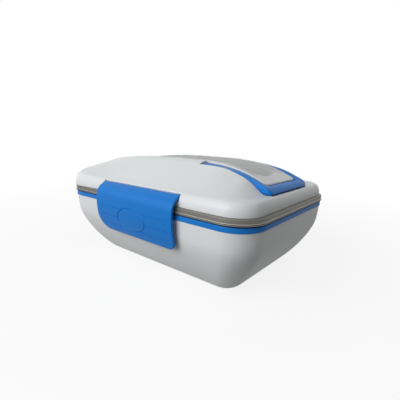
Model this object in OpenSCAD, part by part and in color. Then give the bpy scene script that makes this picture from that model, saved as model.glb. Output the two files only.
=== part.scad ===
// Electric lunch box: a boat shaped plastic base with a heating plate under a steel food pan,
// and a lift-off lid with a spoon well, a folding carry handle and a swinging latch on each long side.
// The length runs along X, the front latch faces -Y, and the feet stand on z = 0.

/* [Overall] */
// Length over the steel rim
rim_l = 238; // [220:1:260]
// Width over the steel rim
rim_w = 174; // [164:1:190]
// Corner radius of the steel rim, seen from above
rim_r = 26.6; // [22:0.2:32]
// Share of an inset that comes off the corner radius
corner_share = 0.413; // [0.3:0.01:0.5]

/* [Base shell] */
// Height of the base shell's top edge above the table
base_h = 64.9; // [62:0.1:74]
// Wall of the base shell
base_wall = 2.2; // [1.6:0.1:3]
// Inset of the top edge of the base from the steel rim
base_inset = 1.4; // [1:0.1:2]
// Inset that the straight upper wall gains over the full height
draft_inset = 5; // [3:0.5:7]
// Inset that the round belly adds at the table
belly_inset = 31.3; // [26:0.1:34]
// Depth of the straight wall as a share of the height
straight_share = 0.257; // [0.2:0.01:0.35]
// Fullness of the belly curve
belly_power = 1.33; // [1.2:0.01:1.6]
// Height that the feet hold the shell off the table
foot_h = 1.2; // [0.8:0.1:2]
// Radius of a foot
foot_r = 6; // [4:0.5:8]

/* [Inner liner] */
// Height of the blue band that shows round the box
band_h = 4.3; // [3.5:0.1:6]
// Inset of the band from the steel rim
band_inset = 1; // [0.6:0.1:1.3]
// Wall of the liner
liner_wall = 2; // [1.5:0.1:2.5]
// Inset of the liner's mouth
liner_mouth = 13.5; // [12:0.5:14]
// Inset of the liner's wall at its floor
liner_foot = 22.2; // [21.5:0.1:23]
// Height of the liner's floor above the table
liner_floor = 21.6; // [20.5:0.1:23]

/* [Food pan] */
// Sheet of the pan
pan_sheet = 0.9; // [0.6:0.1:1.2]
// Gap that shows between the band and the pan's rolled edge
pan_gap = 0.8; // [0.4:0.1:1.5]
// Height of the pan's rim from its rolled edge to its flat top
rim_h = 5.6; // [5:0.1:7]
// Inset of the pan's mouth
pan_mouth = 15.3; // [14.8:0.1:16.5]
// Inset of the pan's wall at its floor
pan_foot = 23.3; // [23.1:0.1:25]

/* [Lid] */
// Inset of the lid from the steel rim
lid_inset = 3; // [2.5:0.1:4]
// Gap between the rim's flat top and the lid's lower edge
lid_gap = 0.5; // [0.3:0.1:1]
// Wall of the lid
lid_wall = 2.4; // [1.8:0.1:3]
// Height of the lid's upright edge
lid_edge = 1.9; // [1.5:0.1:3]
// Height of the lid from its lower edge to the crest of the bridge
lid_h = 34.1; // [33:0.1:38]
// Radius of the shoulder at the right, front and rear
shoulder_r = 12; // [10:0.5:13]
// Radius that the shoulder gains at the left end
shoulder_gain = 12; // [8:0.5:14]
// Half width of the bridge's flat crest
crest_y = 39; // [38:0.5:40]
// Drop of the crest at the left reach
left_drop = 8.8; // [7:0.1:10]
// Drop of the crest at the right reach
right_drop = 10; // [9:0.1:12]
// Drop of the level deck that the cover and the handle end on
deck_drop = 16.5; // [15:0.1:18]

/* [Spoon well] */
// Half width of the spoon cover
cover_y = 29.5; // [28:0.5:29.5]
// Sheet of the spoon cover
cover_sheet = 1.8; // [1.2:0.1:2.2]
// Depth of the cover's trough under the crest
trough_depth = 6.5; // [4:0.5:7]
// Half width of the trough
trough_y = 19; // [15:0.5:20]
// Half width of the well under the cover
well_y = 24; // [22:0.5:25]
// Length of the spoon
spoon_l = 150; // [130:1:160]

/* [Carry handle] */
// Width of an arm
arm_w = 9.4; // [7:0.1:9.4]
// Thickness of the arms and the bar
arm_t = 7.4; // [6:0.1:8]
// Distance of the pivot from the middle of the lid
pivot_x = 42; // [38:1:46]
// Radius of the pivot pin
pivot_r = 1.5; // [1.2:0.1:1.6]

/* [Latches] */
// Width of a latch
latch_w = 104; // [80:1:110]
// Thickness of a latch
latch_t = 2.8; // [2.2:0.1:3.2]
// Depth of a latch below its hinge pin
latch_drop = 44.6; // [40:0.1:48]
// How far the latch bulges out past its hinge pin
latch_bulge = 10.9; // [10:0.1:12]
// Radius of the rolled hinge edge
roll_r = 2.3; // [2:0.1:2.5]
// Radius of the hinge pin
latch_pin_r = 1; // [0.8:0.1:1.2]

/* [Heating] */
// Radius of the heating element
element_r = 36; // [32:1:37]
// How far the plate that the pan stands on reaches past the element
plate_reach = 16; // [12:1:18]
// Thickness of the heating element
element_t = 2; // [1.5:0.1:3]
// Width of the power inlet
inlet_w = 26; // [24:1:30]
// Height of the power inlet
inlet_h = 14.4; // [13:0.1:15]

/* [Clearances] */
// Clearance between parts that lift out or turn past each other
part_gap = 0.4; // [0.3:0.05:0.6]
// Clearance between a seat and what rests on it
seat_gap = 0.3; // [0.2:0.05:0.5]
// Running clearance of a pin in its bore
pin_gap = 0.05; // [0.03:0.01:0.1]

/* [Hidden] */

body_white = [0.9, 0.92, 0.92];
trim_blue = [0.2, 0.48, 0.8];
steel = [0.62, 0.62, 0.58];
cover_grey = [0.66, 0.7, 0.68, 0.8];
rubber_grey = [0.75, 0.76, 0.76];
inlet_black = [0.08, 0.08, 0.09];

arc_steps = 8;
hx = rim_l / 2;
hy = rim_w / 2;

band_top = base_h + band_h;
rim_low = band_top + pan_gap;
rim_top = rim_low + rim_h;
lid_low = rim_top + lid_gap;
lid_crest = lid_low + lid_h;
plate_top = liner_floor + 1.1;
pan_low = plate_top + seat_gap;
pan_floor = pan_low + pan_sheet;
floor_top = foot_h + base_wall;

// Half sizes of the lid's outline, and its corner radius
lid_x = hx - lid_inset;
lid_y = hy - lid_inset;
lid_r = rim_r - lid_inset;

/* Plans: rounded rectangles and the rings that the shells are lofted through */

// Points of a rounded rectangle, anticlockwise, with extra points along its long and short sides
function plan_points(x, y, r, long_points = 0, short_points = 0) =
    let (cx = x - r, cy = y - r, step = 90 / arc_steps)
    concat(
        [for (i = [0:arc_steps]) [cx + r * cos(step * i), cy + r * sin(step * i)]],
        [for (i = [1:1:long_points]) [cx - 2 * cx * i / (long_points + 1), y]],
        [for (i = [0:arc_steps]) [-cx - r * sin(step * i), cy + r * cos(step * i)]],
        [for (i = [1:1:short_points]) [-x, cy - 2 * cy * i / (short_points + 1)]],
        [for (i = [0:arc_steps]) [-cx - r * cos(step * i), -cy - r * sin(step * i)]],
        [for (i = [1:1:long_points]) [-cx + 2 * cx * i / (long_points + 1), -y]],
        [for (i = [0:arc_steps]) [cx + r * sin(step * i), -cy - r * cos(step * i)]],
        [for (i = [1:1:short_points]) [x, -cy + 2 * cy * i / (short_points + 1)]]
    );

function corner_r(inset) = rim_r - corner_share * inset;

// One level ring at an inset from the steel rim
function rim_ring(inset, z) =
    [for (p = plan_points(hx - inset, hy - inset, corner_r(inset))) [p.x, p.y, z]];

// A closed solid lofted through rings of equal count, with a flat cap on its first and last ring
module ring_stack(rings) {
    n = len(rings[0]);
    m = len(rings);
    polyhedron(
        points = [for (ring = rings) each ring],
        faces = concat(
            [[for (i = [0:n - 1]) i]],
            [for (k = [0:m - 2], i = [0:n - 1])
                [k * n + i, (k + 1) * n + i, (k + 1) * n + (i + 1) % n]],
            [for (k = [0:m - 2], i = [0:n - 1])
                [k * n + i, (k + 1) * n + (i + 1) % n, k * n + (i + 1) % n]],
            [[for (i = [n - 1:-1:0]) (m - 1) * n + i]]
        )
    );
}

// Rounded rectangle at an inset from the steel rim, with true arcs
module rim_plan(inset) {
    rounded_plan(hx - inset, hy - inset, corner_r(inset));
}

module rounded_plan(x, y, r) {
    square([2 * (x - r), 2 * y], center = true);
    square([2 * x, 2 * (y - r)], center = true);
    for (sx = [-1, 1], sy = [-1, 1])
        translate([sx * (x - r), sy * (y - r)]) circle(r = r, $fn = 64);
}

// Upright band between two insets
module rim_band(outer, inner, low, high) {
    translate([0, 0, low]) linear_extrude(high - low) difference() {
        rim_plan(outer);
        rim_plan(inner);
    }
}

/* Base shell */

// Inset of the base's outside at a height: a drafted wall that rolls into a boat shaped belly
function belly_at(z) =
    let (s = (base_h - z) / base_h,
         q = max(0, (s - straight_share) / (1 - straight_share)))
    base_inset + draft_inset * s
        + belly_inset * (1 - pow(max(0, 1 - pow(q, belly_power)), 1 / belly_power));

// Inset of the base's inside, which follows the outside one wall further in
function belly_inside(z) = belly_at(z - 0.55 * base_wall) + 0.95 * base_wall;

outer_levels = [0, 0.015, 0.045, 0.09, 0.15, 0.22, 0.31, 0.41, 0.52, 0.65, 0.74, 1];
inner_levels = [1, 0.72, 0.58, 0.45, 0.33, 0.22, 0.13, 0.06, 0];

screw_x = 50;
screw_y = 30;
foot_x = 64;
foot_y = 34;
pad_top = floor_top + 2.3;
screw_r = 1.4;
head_r = 3;

// The inlet sits in a square nose low on the left end, below the liner's floor
nose_x = -(hx - belly_at(14));
inlet_z = floor_top + 0.6 + inlet_h / 2;
inlet_deep = 20;

module base_shell() {
    color(body_white) difference() {
        union() {
            ring_stack(concat(
                [for (t = outer_levels) let (z = foot_h + t * (base_h - foot_h)) rim_ring(belly_at(z), z)],
                [for (t = inner_levels) let (z = floor_top + t * (base_h - floor_top))
                    rim_ring(belly_inside(z), z)]
            ));
            for (sx = [-1, 1], sy = [-1, 1])
                translate([sx * screw_x, sy * screw_y, foot_h]) cylinder(r = 6, h = pad_top - foot_h, $fn = 32);
            translate([nose_x, -inlet_w / 2 - 2.2, foot_h])
                cube([inlet_deep, inlet_w + 4.4, liner_floor - liner_wall - 0.1 - foot_h]);
        }
        for (sx = [-1, 1], sy = [-1, 1]) {
            translate([sx * screw_x, sy * screw_y, foot_h - 1]) {
                cylinder(r = screw_r + 0.3, h = 12, $fn = 24);
                cylinder(r = head_r + 0.3, h = 3.2, $fn = 32);
            }
            translate([sx * foot_x, sy * foot_y, foot_h - 1]) cylinder(r = foot_r + 0.1, h = 1.8, $fn = 48);
        }
        translate([nose_x - 12, -inlet_w / 2 - 0.2, inlet_z - inlet_h / 2 - 0.2])
            cube([inlet_deep + 17, inlet_w + 0.4, inlet_h + 0.4]);
    }
}

module feet() {
    color(inlet_black) for (sx = [-1, 1], sy = [-1, 1])
        translate([sx * foot_x, sy * foot_y, 0]) {
            cylinder(r1 = foot_r - 0.6, r2 = foot_r, h = 0.6, $fn = 48);
            translate([0, 0, 0.6]) cylinder(r = foot_r, h = foot_h + 0.2, $fn = 48);
        }
}

module base_screws() {
    color(steel) for (sx = [-1, 1], sy = [-1, 1])
        translate([sx * screw_x, sy * screw_y, foot_h + 0.4]) difference() {
            union() {
                cylinder(r = head_r, h = 1.8, $fn = 32);
                cylinder(r = screw_r - 0.03, h = 10, $fn = 24);
            }
            for (turn = [0, 90]) rotate([0, 0, turn]) translate([-1.8, -0.4, -0.1]) cube([3.6, 0.8, 1.1]);
        }
}

/* Inner liner: the blue tub whose rim shows as the band, and its catch ribs behind the latches */

lip_inset = belly_inside(base_h) + 0.4;
lip_h = 2.5;
catch_w = 60;
catch_out = hy - band_inset + 1.5;
catch_low = base_h + 0.3;
catch_h = 2.8;

// Inset of the liner's inner wall at a height
function liner_at(z) =
    liner_mouth + (liner_foot - liner_mouth) * (band_top - z) / (band_top - liner_floor - 3);

module inner_liner() {
    under = liner_floor - liner_wall;
    shelf = band_top - liner_wall - 0.4;
    knee = liner_floor + 3;
    color(trim_blue) difference() {
        union() {
            ring_stack([
                rim_ring(liner_foot + 5.5, under),
                rim_ring(liner_foot + 2, under + 0.8),
                rim_ring(liner_foot - liner_wall + 0.3, knee - 0.6),
                rim_ring(liner_mouth - liner_wall, shelf),
                rim_ring(lip_inset + 1.6, shelf),
                rim_ring(lip_inset + 1.6, base_h - lip_h),
                rim_ring(lip_inset, base_h - lip_h),
                rim_ring(lip_inset, base_h),
                rim_ring(band_inset, base_h),
                rim_ring(band_inset, band_top - 0.6),
                rim_ring(band_inset + 0.5, band_top),
                rim_ring(liner_mouth, band_top),
                rim_ring(liner_at(knee), knee),
                rim_ring(liner_foot + 2.6, liner_floor + 0.6),
                rim_ring(liner_foot + 5.5, liner_floor)
            ]);
            for (sx = [-1, 1], sy = [-1, 1])
                translate([sx * screw_x, sy * screw_y, pad_top])
                    cylinder(r = 3.6, h = under + 0.5 - pad_top, $fn = 32);
            for (side = [-1, 1])
                translate([-catch_w / 2, side > 0 ? hy - band_inset - 0.7 : -catch_out, catch_low])
                    cube([catch_w, catch_out - hy + band_inset + 0.7, catch_h]);
        }
        translate([0, 0, under - 1]) cylinder(r = plate_r - 8, h = liner_wall + 3, $fn = 96);
        for (sx = [-1, 1], sy = [-1, 1])
            translate([sx * screw_x, sy * screw_y, pad_top - 1]) cylinder(r = screw_r, h = 9, $fn = 24);
    }
}

/* Heating parts, hung under the plate in the liner's floor */

plate_r = element_r + plate_reach;
plate_low = liner_floor - liner_wall - 2;
element_low = plate_low - element_t;
strap_t = 1.2;
strap_low = element_low - strap_t;
strap_screw_y = element_r + 4.2;
strap_bend = element_r + 0.2;

module heating_plate() {
    color(steel) difference() {
        union() {
            translate([0, 0, liner_floor]) cylinder(r = plate_r, h = plate_top - liner_floor, $fn = 96);
            translate([0, 0, plate_low]) cylinder(r = plate_r - 8.3, h = liner_floor - plate_low, $fn = 96);
        }
        for (sy = [-1, 1])
            translate([0, sy * strap_screw_y, plate_low - 0.1]) cylinder(r = 1.25, h = 4, $fn = 24);
    }
}

module heating_element() {
    color("dimgray") translate([0, 0, element_low]) {
        difference() {
            cylinder(r = element_r, h = element_t, $fn = 96);
            translate([0, 0, -1]) cylinder(r = 6, h = element_t + 2, $fn = 48);
        }
        for (sy = [-1, 1]) translate([-element_r + 6, sy * 9 - 2.4, -5]) cube([0.8, 4.8, 5]);
    }
}

// A strap that steps up at both ends to its screws in the plate
module element_clamp() {
    end = strap_screw_y + 2.4;
    right_half = [
        [strap_bend + strap_t, strap_low], [strap_bend + strap_t, plate_low - strap_t],
        [end, plate_low - strap_t], [end, plate_low], [strap_bend, plate_low], [strap_bend, element_low]
    ];
    color(steel) difference() {
        translate([-7, 0, 0]) rotate([90, 0, 90]) linear_extrude(14) polygon(concat(
            right_half,
            [for (i = [len(right_half) - 1:-1:0]) [-right_half[i].x, right_half[i].y]]
        ));
        for (sy = [-1, 1])
            translate([0, sy * strap_screw_y, element_low - 3]) cylinder(r = 1.4, h = 8, $fn = 24);
    }
}

module clamp_screws() {
    color("silver") for (sy = [-1, 1]) translate([0, sy * strap_screw_y, plate_low - strap_t - 1.8]) {
        cylinder(r = 2.3, h = 1.8, $fn = 32);
        cylinder(r = 1.2, h = 6, $fn = 24);
    }
}

thermostat_low = floor_top + 2.2;

module thermostat() {
    color("silver") translate([0, 0, strap_low - 3.6]) cylinder(r = 8.4, h = 3.6, $fn = 48);
    color("saddlebrown") translate([0, 0, thermostat_low])
        cylinder(r = 7, h = strap_low - 3.6 - thermostat_low, $fn = 48);
    color("silver") for (s = [-1, 1]) translate([s * 9.4 - 3.2, -1.6, thermostat_low + 1]) cube([6.4, 3.2, 0.8]);
}

fuse_r = 2;
fuse_inset = 24;

module thermal_fuse() {
    color("beige") translate([element_r - fuse_inset, 20, element_low - fuse_r - 0.1]) rotate([0, 90, 0]) {
        cylinder(r = fuse_r, h = 12, $fn = 32);
        translate([0, 0, -4]) cylinder(r = 0.5, h = 20, $fn = 16);
    }
}

module insulation_pad() {
    color("white") translate([0, 0, floor_top]) difference() {
        cylinder(r = element_r + 2, h = 1.4, $fn = 96);
        translate([0, 0, -1]) cylinder(r = 3, h = 4, $fn = 32);
    }
}

/* Power inlet, its pins, its lamp and the leads inside */

mouth_w = 16;
mouth_y = -3.4;
mouth_deep = 12;
lens_y = 9;
pin_y = 4;

module power_inlet() {
    color(inlet_black) difference() {
        translate([nose_x, -inlet_w / 2, inlet_z - inlet_h / 2]) cube([inlet_deep, inlet_w, inlet_h]);
        translate([nose_x - 1, mouth_y - mouth_w / 2, inlet_z - 4.6]) cube([mouth_deep + 1, mouth_w, 9.2]);
        for (s = [-1, 1]) translate([nose_x + 1, mouth_y + s * pin_y, inlet_z])
            rotate([0, 90, 0]) cylinder(r = 1.2, h = inlet_deep, $fn = 24);
        translate([nose_x - 1, lens_y, inlet_z]) rotate([0, 90, 0]) cylinder(r = 2, h = inlet_deep + 2, $fn = 32);
    }
}

module inlet_pins() {
    color("gold") for (s = [-1, 1]) translate([nose_x + 5, mouth_y + s * pin_y, inlet_z]) rotate([0, 90, 0]) {
        cylinder(r = 1.15, h = inlet_deep - 2, $fn = 24);
    }
}

module indicator_lens() {
    color("red") translate([nose_x, lens_y, inlet_z]) rotate([0, 90, 0]) {
        cylinder(r = 1.9, h = 8, $fn = 32);
        intersection() {
            translate([0, 0, 1.6]) sphere(r = 2.4, $fn = 32);
            translate([-3, -3, -1]) cube([6, 6, 1.2]);
        }
    }
}

wire_r = 0.9;

// A lead swept through its route with six flat sides, each ring square to the run beside it
module lead(route) {
    n = 6;
    last = len(route) - 1;
    function along(i) = let (a = route[max(0, i - 1)], b = route[min(last, i + 1)]) (b - a) / norm(b - a);
    function side(d) = let (s = cross(d, [0, 0.6, 0.8])) s / norm(s);
    ring_stack([for (i = [0:last]) let (d = along(i), u = side(d), v = cross(d, u))
        [for (k = [0:n - 1]) route[i] + wire_r * (u * cos(k * 360 / n) + v * sin(k * 360 / n))]]);
}

module wiring() {
    pin_end = nose_x + inlet_deep + 3.2;
    tab_low = element_low - 6;
    color("firebrick") lead([[pin_end, mouth_y - pin_y, inlet_z], [pin_end + 8, mouth_y - pin_y, inlet_z],
        [-30, -4, thermostat_low + 2], [-18, -0.5, thermostat_low + 1.4], [-12.8, 0, thermostat_low + 1.4]]);
    color("royalblue") lead([[pin_end, mouth_y + pin_y, inlet_z], [pin_end + 8, mouth_y + pin_y, inlet_z],
        [-50, 7, tab_low - 2], [-element_r, 8.8, tab_low - 1], [-element_r + 6.4, 9, tab_low - 0.1]]);
}

/* Food pan and the side dish box inside it */

// Inset of the pan's outer wall at a height
function pan_at(z) = pan_mouth + (pan_foot - pan_mouth) * (rim_top - z) / (rim_top - pan_low - 4);

module food_pan() {
    t = pan_sheet;
    knee = pan_low + 4;
    color(steel) ring_stack(concat(
        [
            rim_ring(pan_foot + 5, pan_low),
            rim_ring(pan_foot + 2, pan_low + 0.7),
            rim_ring(pan_foot + 0.5, pan_low + 2.2),
            rim_ring(pan_at(knee), knee),
            rim_ring(pan_at(rim_top - 2), rim_top - 2),
            rim_ring(pan_mouth - 1.2, rim_top - t)
        ],
        [for (a = [90, 60, 35, 12]) rim_ring(t + 5 - 5 * cos(a), rim_top - 5 + (5 - t) * sin(a))],
        [
            rim_ring(1.5, rim_low + 0.5),
            rim_ring(0.7, rim_low),
            rim_ring(0, rim_low + 0.6),
            rim_ring(0.2, rim_low + 1.3)
        ],
        [for (a = [20, 40, 60, 78, 90]) rim_ring(5.6 - 5.6 * cos(a), rim_top - 5 + 5 * sin(a))],
        [
            rim_ring(pan_mouth - 0.8, rim_top),
            rim_ring(pan_mouth + t, rim_top - 1.8),
            rim_ring(pan_at(knee) + t, knee),
            rim_ring(pan_foot + 2.3 + t, pan_low + t + 1.1),
            rim_ring(pan_foot + 5, pan_floor)
        ]
    ));
}

dish_half_x = 28;
dish_x = hx - pan_foot - 6.7 - dish_half_x;
dish_half_y = hy - pan_foot - 6.7;
dish_r = 15;
dish_wall = 1.5;
dish_low = pan_floor + seat_gap;
dish_h = 38;
dish_foot_h = 3.8;

module side_dish_box() {
    color("lightblue") translate([dish_x, 0, dish_low]) difference() {
        union() {
            translate([0, 0, dish_foot_h]) linear_extrude(dish_h - dish_foot_h)
                rounded_plan(dish_half_x, dish_half_y, dish_r);
            linear_extrude(dish_foot_h + 0.1) difference() {
                rounded_plan(dish_half_x - 15, dish_half_y - 16, 6);
                rounded_plan(dish_half_x - 16.6, dish_half_y - 17.6, 4.4);
            }
            translate([0, 0, dish_h - 3]) linear_extrude(1.4) rounded_plan(dish_half_x + 1.2, dish_half_y + 1.2, dish_r + 1.2);
        }
        translate([0, 0, dish_foot_h + dish_wall]) linear_extrude(dish_h)
            rounded_plan(dish_half_x - dish_wall, dish_half_y - dish_wall, dish_r - dish_wall);
    }
}

module side_dish_lid() {
    lid_plate = 1.6;
    color("white") translate([dish_x, 0, dish_low + dish_h]) {
        linear_extrude(lid_plate) rounded_plan(dish_half_x + 1.2, dish_half_y + 1.2, dish_r + 1.2);
        translate([0, 0, -2.5]) linear_extrude(2.5) difference() {
            rounded_plan(dish_half_x - dish_wall - seat_gap, dish_half_y - dish_wall - seat_gap,
                dish_r - dish_wall - seat_gap);
            rounded_plan(dish_half_x - dish_wall - 1.6, dish_half_y - dish_wall - 1.6, dish_r - dish_wall - 1.6);
        }
        translate([0, 0, lid_plate]) linear_extrude(0.8) difference() {
            rounded_plan(dish_half_x - 4, dish_half_y - 4, dish_r - 4);
            rounded_plan(dish_half_x - 5.5, dish_half_y - 5.5, dish_r - 5.5);
        }
    }
}

/* Lid surface: a shoulder that rolls up from the edge, and a bridge arched along the box */

left_reach = lid_x - 8;
left_power = 2.48;
right_reach = lid_x - 31;
right_power = 4.2;
facet_low = 8.5;
facet_rise = 3.3;
facet_y = lid_y - 5;
plateau = 9.3;
blend = 3;

// Height of the bridge's crest along the box
function arch_at(x) = x < 0
    ? lid_crest - left_drop * pow(-x / left_reach, left_power)
    : lid_crest - right_drop * pow(x / right_reach, right_power);

function ease(t) = let (c = min(1, max(0, t))) c * c * (3 - 2 * c);
function soft_low(a, b, k) = let (h = min(1, max(0, 0.5 + 0.5 * (b - a) / k))) b * (1 - h) + a * h - k * h * (1 - h);
function soft_high(a, b, k) = -soft_low(-a, -b, k);

deck_slope = 0.25;
deck_blend = 4;

// Crest of the cover and the handle: the lid's own to the left, and a level deck at the right end, where the
// lid under it rolls down
function deck_at(x) = x < 0
    ? lid_z(x, 0)
    : soft_high(arch_at(x), lid_crest - deck_drop - deck_slope * max(x - cover_right, -20), deck_blend);

// Distance of a point inside the lid's outline
function lid_inside(x, y) =
    let (qx = abs(x) - (lid_x - lid_r), qy = abs(y) - (lid_y - lid_r))
    max(0, lid_r - norm([max(qx, 0), max(qy, 0)]) - min(max(qx, qy), 0));

// Height of the shoulder at a distance inside the outline, with radius r
function shoulder_at(u, r) = let (w = u / r)
    w < 0.55 ? r * sqrt(max(0, 1 - pow(1 - w, 2))) : r * (0.893 + 0.504 * (w - 0.55));

// Height of the lid's outer surface
function lid_z(x, y) =
    let (edge = lid_low + lid_edge,
         low = edge + facet_low + facet_rise * ease((-x - 40) / 60),
         t = min(1.2, max(0, (abs(y) - crest_y) / (facet_y - crest_y))),
         bridge = arch_at(x) + (low - arch_at(x)) * pow(t, 0.92),
         shoulder = edge + shoulder_at(lid_inside(x, y), shoulder_r + shoulder_gain * ease((-x - 55) / 50)))
    soft_low(shoulder, soft_high(bridge, edge + plateau, blend), blend);

long_points = 11;
short_points = 5;

// Plan of a lid ring at a distance inside the outline
function lid_plan(u) = plan_points(lid_x - u, lid_y - u, max(lid_r - 0.75 * u, 4), long_points, short_points);
function lid_ring(u) = [for (p = lid_plan(u)) [p.x, p.y, lid_z(p.x, p.y)]];
function flat_lid_ring(u, z) = [for (p = lid_plan(u)) [p.x, p.y, z]];
function lid_inner_ring(u) =
    [for (p = lid_plan(u)) [p.x, p.y, lid_z(p.x, p.y) - lid_wall - 1.2 * (1 - min(1, u / 12))]];

module lid_outside() {
    ring_stack(concat(
        [flat_lid_ring(0, lid_low), flat_lid_ring(0, lid_low + lid_edge)],
        [for (u = [0.6, 1.8, 3.6, 6.4, 11, 17, 25, 35, 42, lid_y - crest_y, 49, 60]) lid_ring(u)],
        [flat_lid_ring(72, arch_at(30))]
    ));
}

module lid_hollow() {
    ring_stack(concat(
        [flat_lid_ring(lid_wall, lid_low - 1), flat_lid_ring(lid_wall, liner_top + 0.1)],
        [for (u = [4, 8, 15, 25, 37, 46, 58]) lid_inner_ring(u)],
        [flat_lid_ring(70, arch_at(30) - lid_wall)]
    ));
}

// Solid that follows the crest between two depths under it, over a length and a half width
module arch_band(x0, x1, top, bottom, half_y, steps = 30) {
    xs = [for (i = [0:steps]) x0 + (x1 - x0) * i / steps];
    translate([0, half_y, 0]) rotate([90, 0, 0]) linear_extrude(2 * half_y) polygon(concat(
        [for (x = xs) [x, deck_at(x) + top]],
        [for (i = [steps:-1:0]) [xs[i], deck_at(xs[i]) + bottom]]
    ));
}

/* Spoon well, its cover and the spoon */

cover_left = 16 - lid_x;
cover_right = lid_x - 14;
cover_r = 4;
well_left = cover_left + 12;
well_right = cover_right - 10;
well_low = lid_low + lid_edge + 8;
seat_depth = cover_sheet + 0.5;

// Trough of the cover: a long slot with round ends
module trough_plan(grow) {
    left = cover_left + 16 + trough_y;
    right = cover_right - 14 - trough_y;
    translate([left, -trough_y - grow]) square([right - left, 2 * (trough_y + grow)]);
    for (x = [left, right]) translate([x, 0]) circle(r = trough_y + grow, $fn = 64);
}

module cover_plan(grow) {
    mid = (cover_left + cover_right) / 2;
    translate([mid, 0]) rounded_plan((cover_right - cover_left) / 2 + grow, cover_y + grow, cover_r + grow);
}

module spoon_cover() {
    color(cover_grey) difference() {
        union() {
            intersection() {
                arch_band(cover_left, cover_right, -0.2, -0.2 - cover_sheet, cover_y);
                translate([0, 0, well_low]) linear_extrude(60) cover_plan(0);
            }
            intersection() {
                arch_band(cover_left, cover_right, -0.8, -trough_depth - cover_sheet, cover_y);
                translate([0, 0, well_low]) linear_extrude(60) trough_plan(cover_sheet);
            }
        }
        intersection() {
            arch_band(cover_left, cover_right, 5, -trough_depth, cover_y);
            translate([0, 0, well_low]) linear_extrude(60) trough_plan(0);
        }
    }
}

spoon_low = well_low + seat_gap;
bowl_x = 25;
bowl_y = 18;
bowl_deep = 6;
spoon_sheet = 1.2;

// Bowl as a thin dish lofted through ellipses
module spoon_bowl() {
    function ring(share, lift) = [for (i = [0:27])
        [bowl_x * share * cos(i * 360 / 28), bowl_y * share * sin(i * 360 / 28), bowl_deep * share * share + lift]];
    ring_stack(concat(
        [for (s = [0.15, 0.4, 0.65, 0.85, 1]) ring(s, 0)],
        [for (s = [1, 0.85, 0.65, 0.4, 0.15]) ring(s * (1 - 0.02 * s), spoon_sheet)]
    ));
}

module spoon() {
    stem = spoon_l - 2 * bowl_x + 4;
    color(steel) translate([-spoon_l / 2 + bowl_x, 0, spoon_low]) {
        spoon_bowl();
        translate([bowl_x - 3, 0, bowl_deep]) linear_extrude(spoon_sheet)
            polygon([[0, -4], [stem / 3, -3], [stem - 6, -6.5], [stem, -3.5], [stem, 3.5], [stem - 6, 6.5],
                [stem / 3, 3], [0, 4]]);
    }
}

/* Carry handle: a U that follows the crest, folded down over the right half */

arm_out = cover_y + 0.7 + arm_w;
arm_in = cover_y + 0.7;
arm_proud = 1.5;
bar_in = cover_right + 0.5;
bar_out = lid_x - 5.4;
bar_mid = bar_out - 4;
bar_low_r = 1.6;
bar_low = [bar_out - bar_low_r - 0.2, deck_at(bar_mid) + arm_proud - arm_t + bar_low_r];
bar_top_r = 4;
bar_top = [bar_out - bar_top_r, deck_at(bar_mid) + arm_proud - bar_top_r];
pivot_z = deck_at(pivot_x) - 4.6;
bar_reach = norm(bar_low - [pivot_x, pivot_z]) + bar_low_r;
eye_r = 3.2;
handle_r = 9;
sweep_r = 7.2;

// Slope angle of the crest
function deck_tilt(x) = atan2(deck_at(x + 0.5) - deck_at(x - 0.5), 1);

// A point at a height over the crest, square to it
function over_deck(x, h) = [x - h * sin(deck_tilt(x)), deck_at(x) + h * cos(deck_tilt(x))];

// Points of an arc, anticlockwise from one angle to another
function arc(centre, r, from, to, steps = 12) =
    [for (i = [0:steps]) centre + r * [cos(from + (to - from) * i / steps), sin(from + (to - from) * i / steps)]];

// Side view of the arms with a clearance all round: a round eye, the arched arm and the bar's rounded section
module arm_side(grow) {
    steps = 24;
    x0 = pivot_x + 6;
    xs = [for (i = [0:steps]) x0 + (bar_mid - x0) * i / steps];
    polygon(concat(
        arc([pivot_x, pivot_z], eye_r + grow, 85, 275),
        [for (x = xs) over_deck(x, arm_proud - arm_t - grow)],
        arc(bar_low, bar_low_r + grow, -90, 0, 6),
        arc(bar_top, bar_top_r + grow, 0, 72, 8),
        [for (i = [steps:-1:0]) over_deck(xs[i], arm_proud + grow)]
    ));
}

module handle_u(grow) {
    intersection() {
        translate([0, arm_out + grow, 0]) rotate([90, 0, 0]) linear_extrude(2 * (arm_out + grow)) arm_side(grow);
        translate([0, 0, well_low - 10]) linear_extrude(60) handle_plan(grow);
    }
}

module handle_plan(grow) {
    difference() {
        rounded_plan(bar_out + grow, arm_out + grow, handle_r);
        translate([-60, 0]) rounded_plan(bar_in + 60 - grow, arm_in - 4 * grow, 3);
    }
}

module carry_handle() {
    color(trim_blue) difference() {
        handle_u(0);
        translate([pivot_x, arm_out + 1, pivot_z]) rotate([90, 0, 0])
            cylinder(r = pivot_r + pin_gap, h = 2 * arm_out + 2, $fn = 32);
    }
}

pin_in = 5;

module handle_pins() {
    color("silver") for (s = [-1, 1])
        translate([pivot_x, s * (arm_in - pin_in) + (s > 0 ? arm_w + pin_in - 0.6 : 0), pivot_z])
            rotate([90, 0, 0]) cylinder(r = pivot_r, h = arm_w + pin_in - 0.6, $fn = 32);
}

/* Latches: a bowed plate that hangs from a pin in the lid's shoulder */

latch_y = hy - 5.9;
latch_z = lid_low + 6.7;
latch_low = latch_z - latch_drop;
bulge_z = latch_z - 14.4;
trench_r = roll_r + 0.6;
trench_wall = 1.5;
pin_over = 4;
latch_in = 2.7;
latch_thinning = 0.9;

// Outer face of the latch at a height, measured out from its hinge pin
function bow(z) = z > bulge_z
    ? latch_bulge - (latch_bulge - roll_r) * pow((z - bulge_z) / (latch_z - bulge_z), 2.6)
    : latch_bulge - latch_in * pow(below_bulge(z), 2);
function below_bulge(z) = max(0, (bulge_z - z) / (bulge_z - latch_low));

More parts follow.
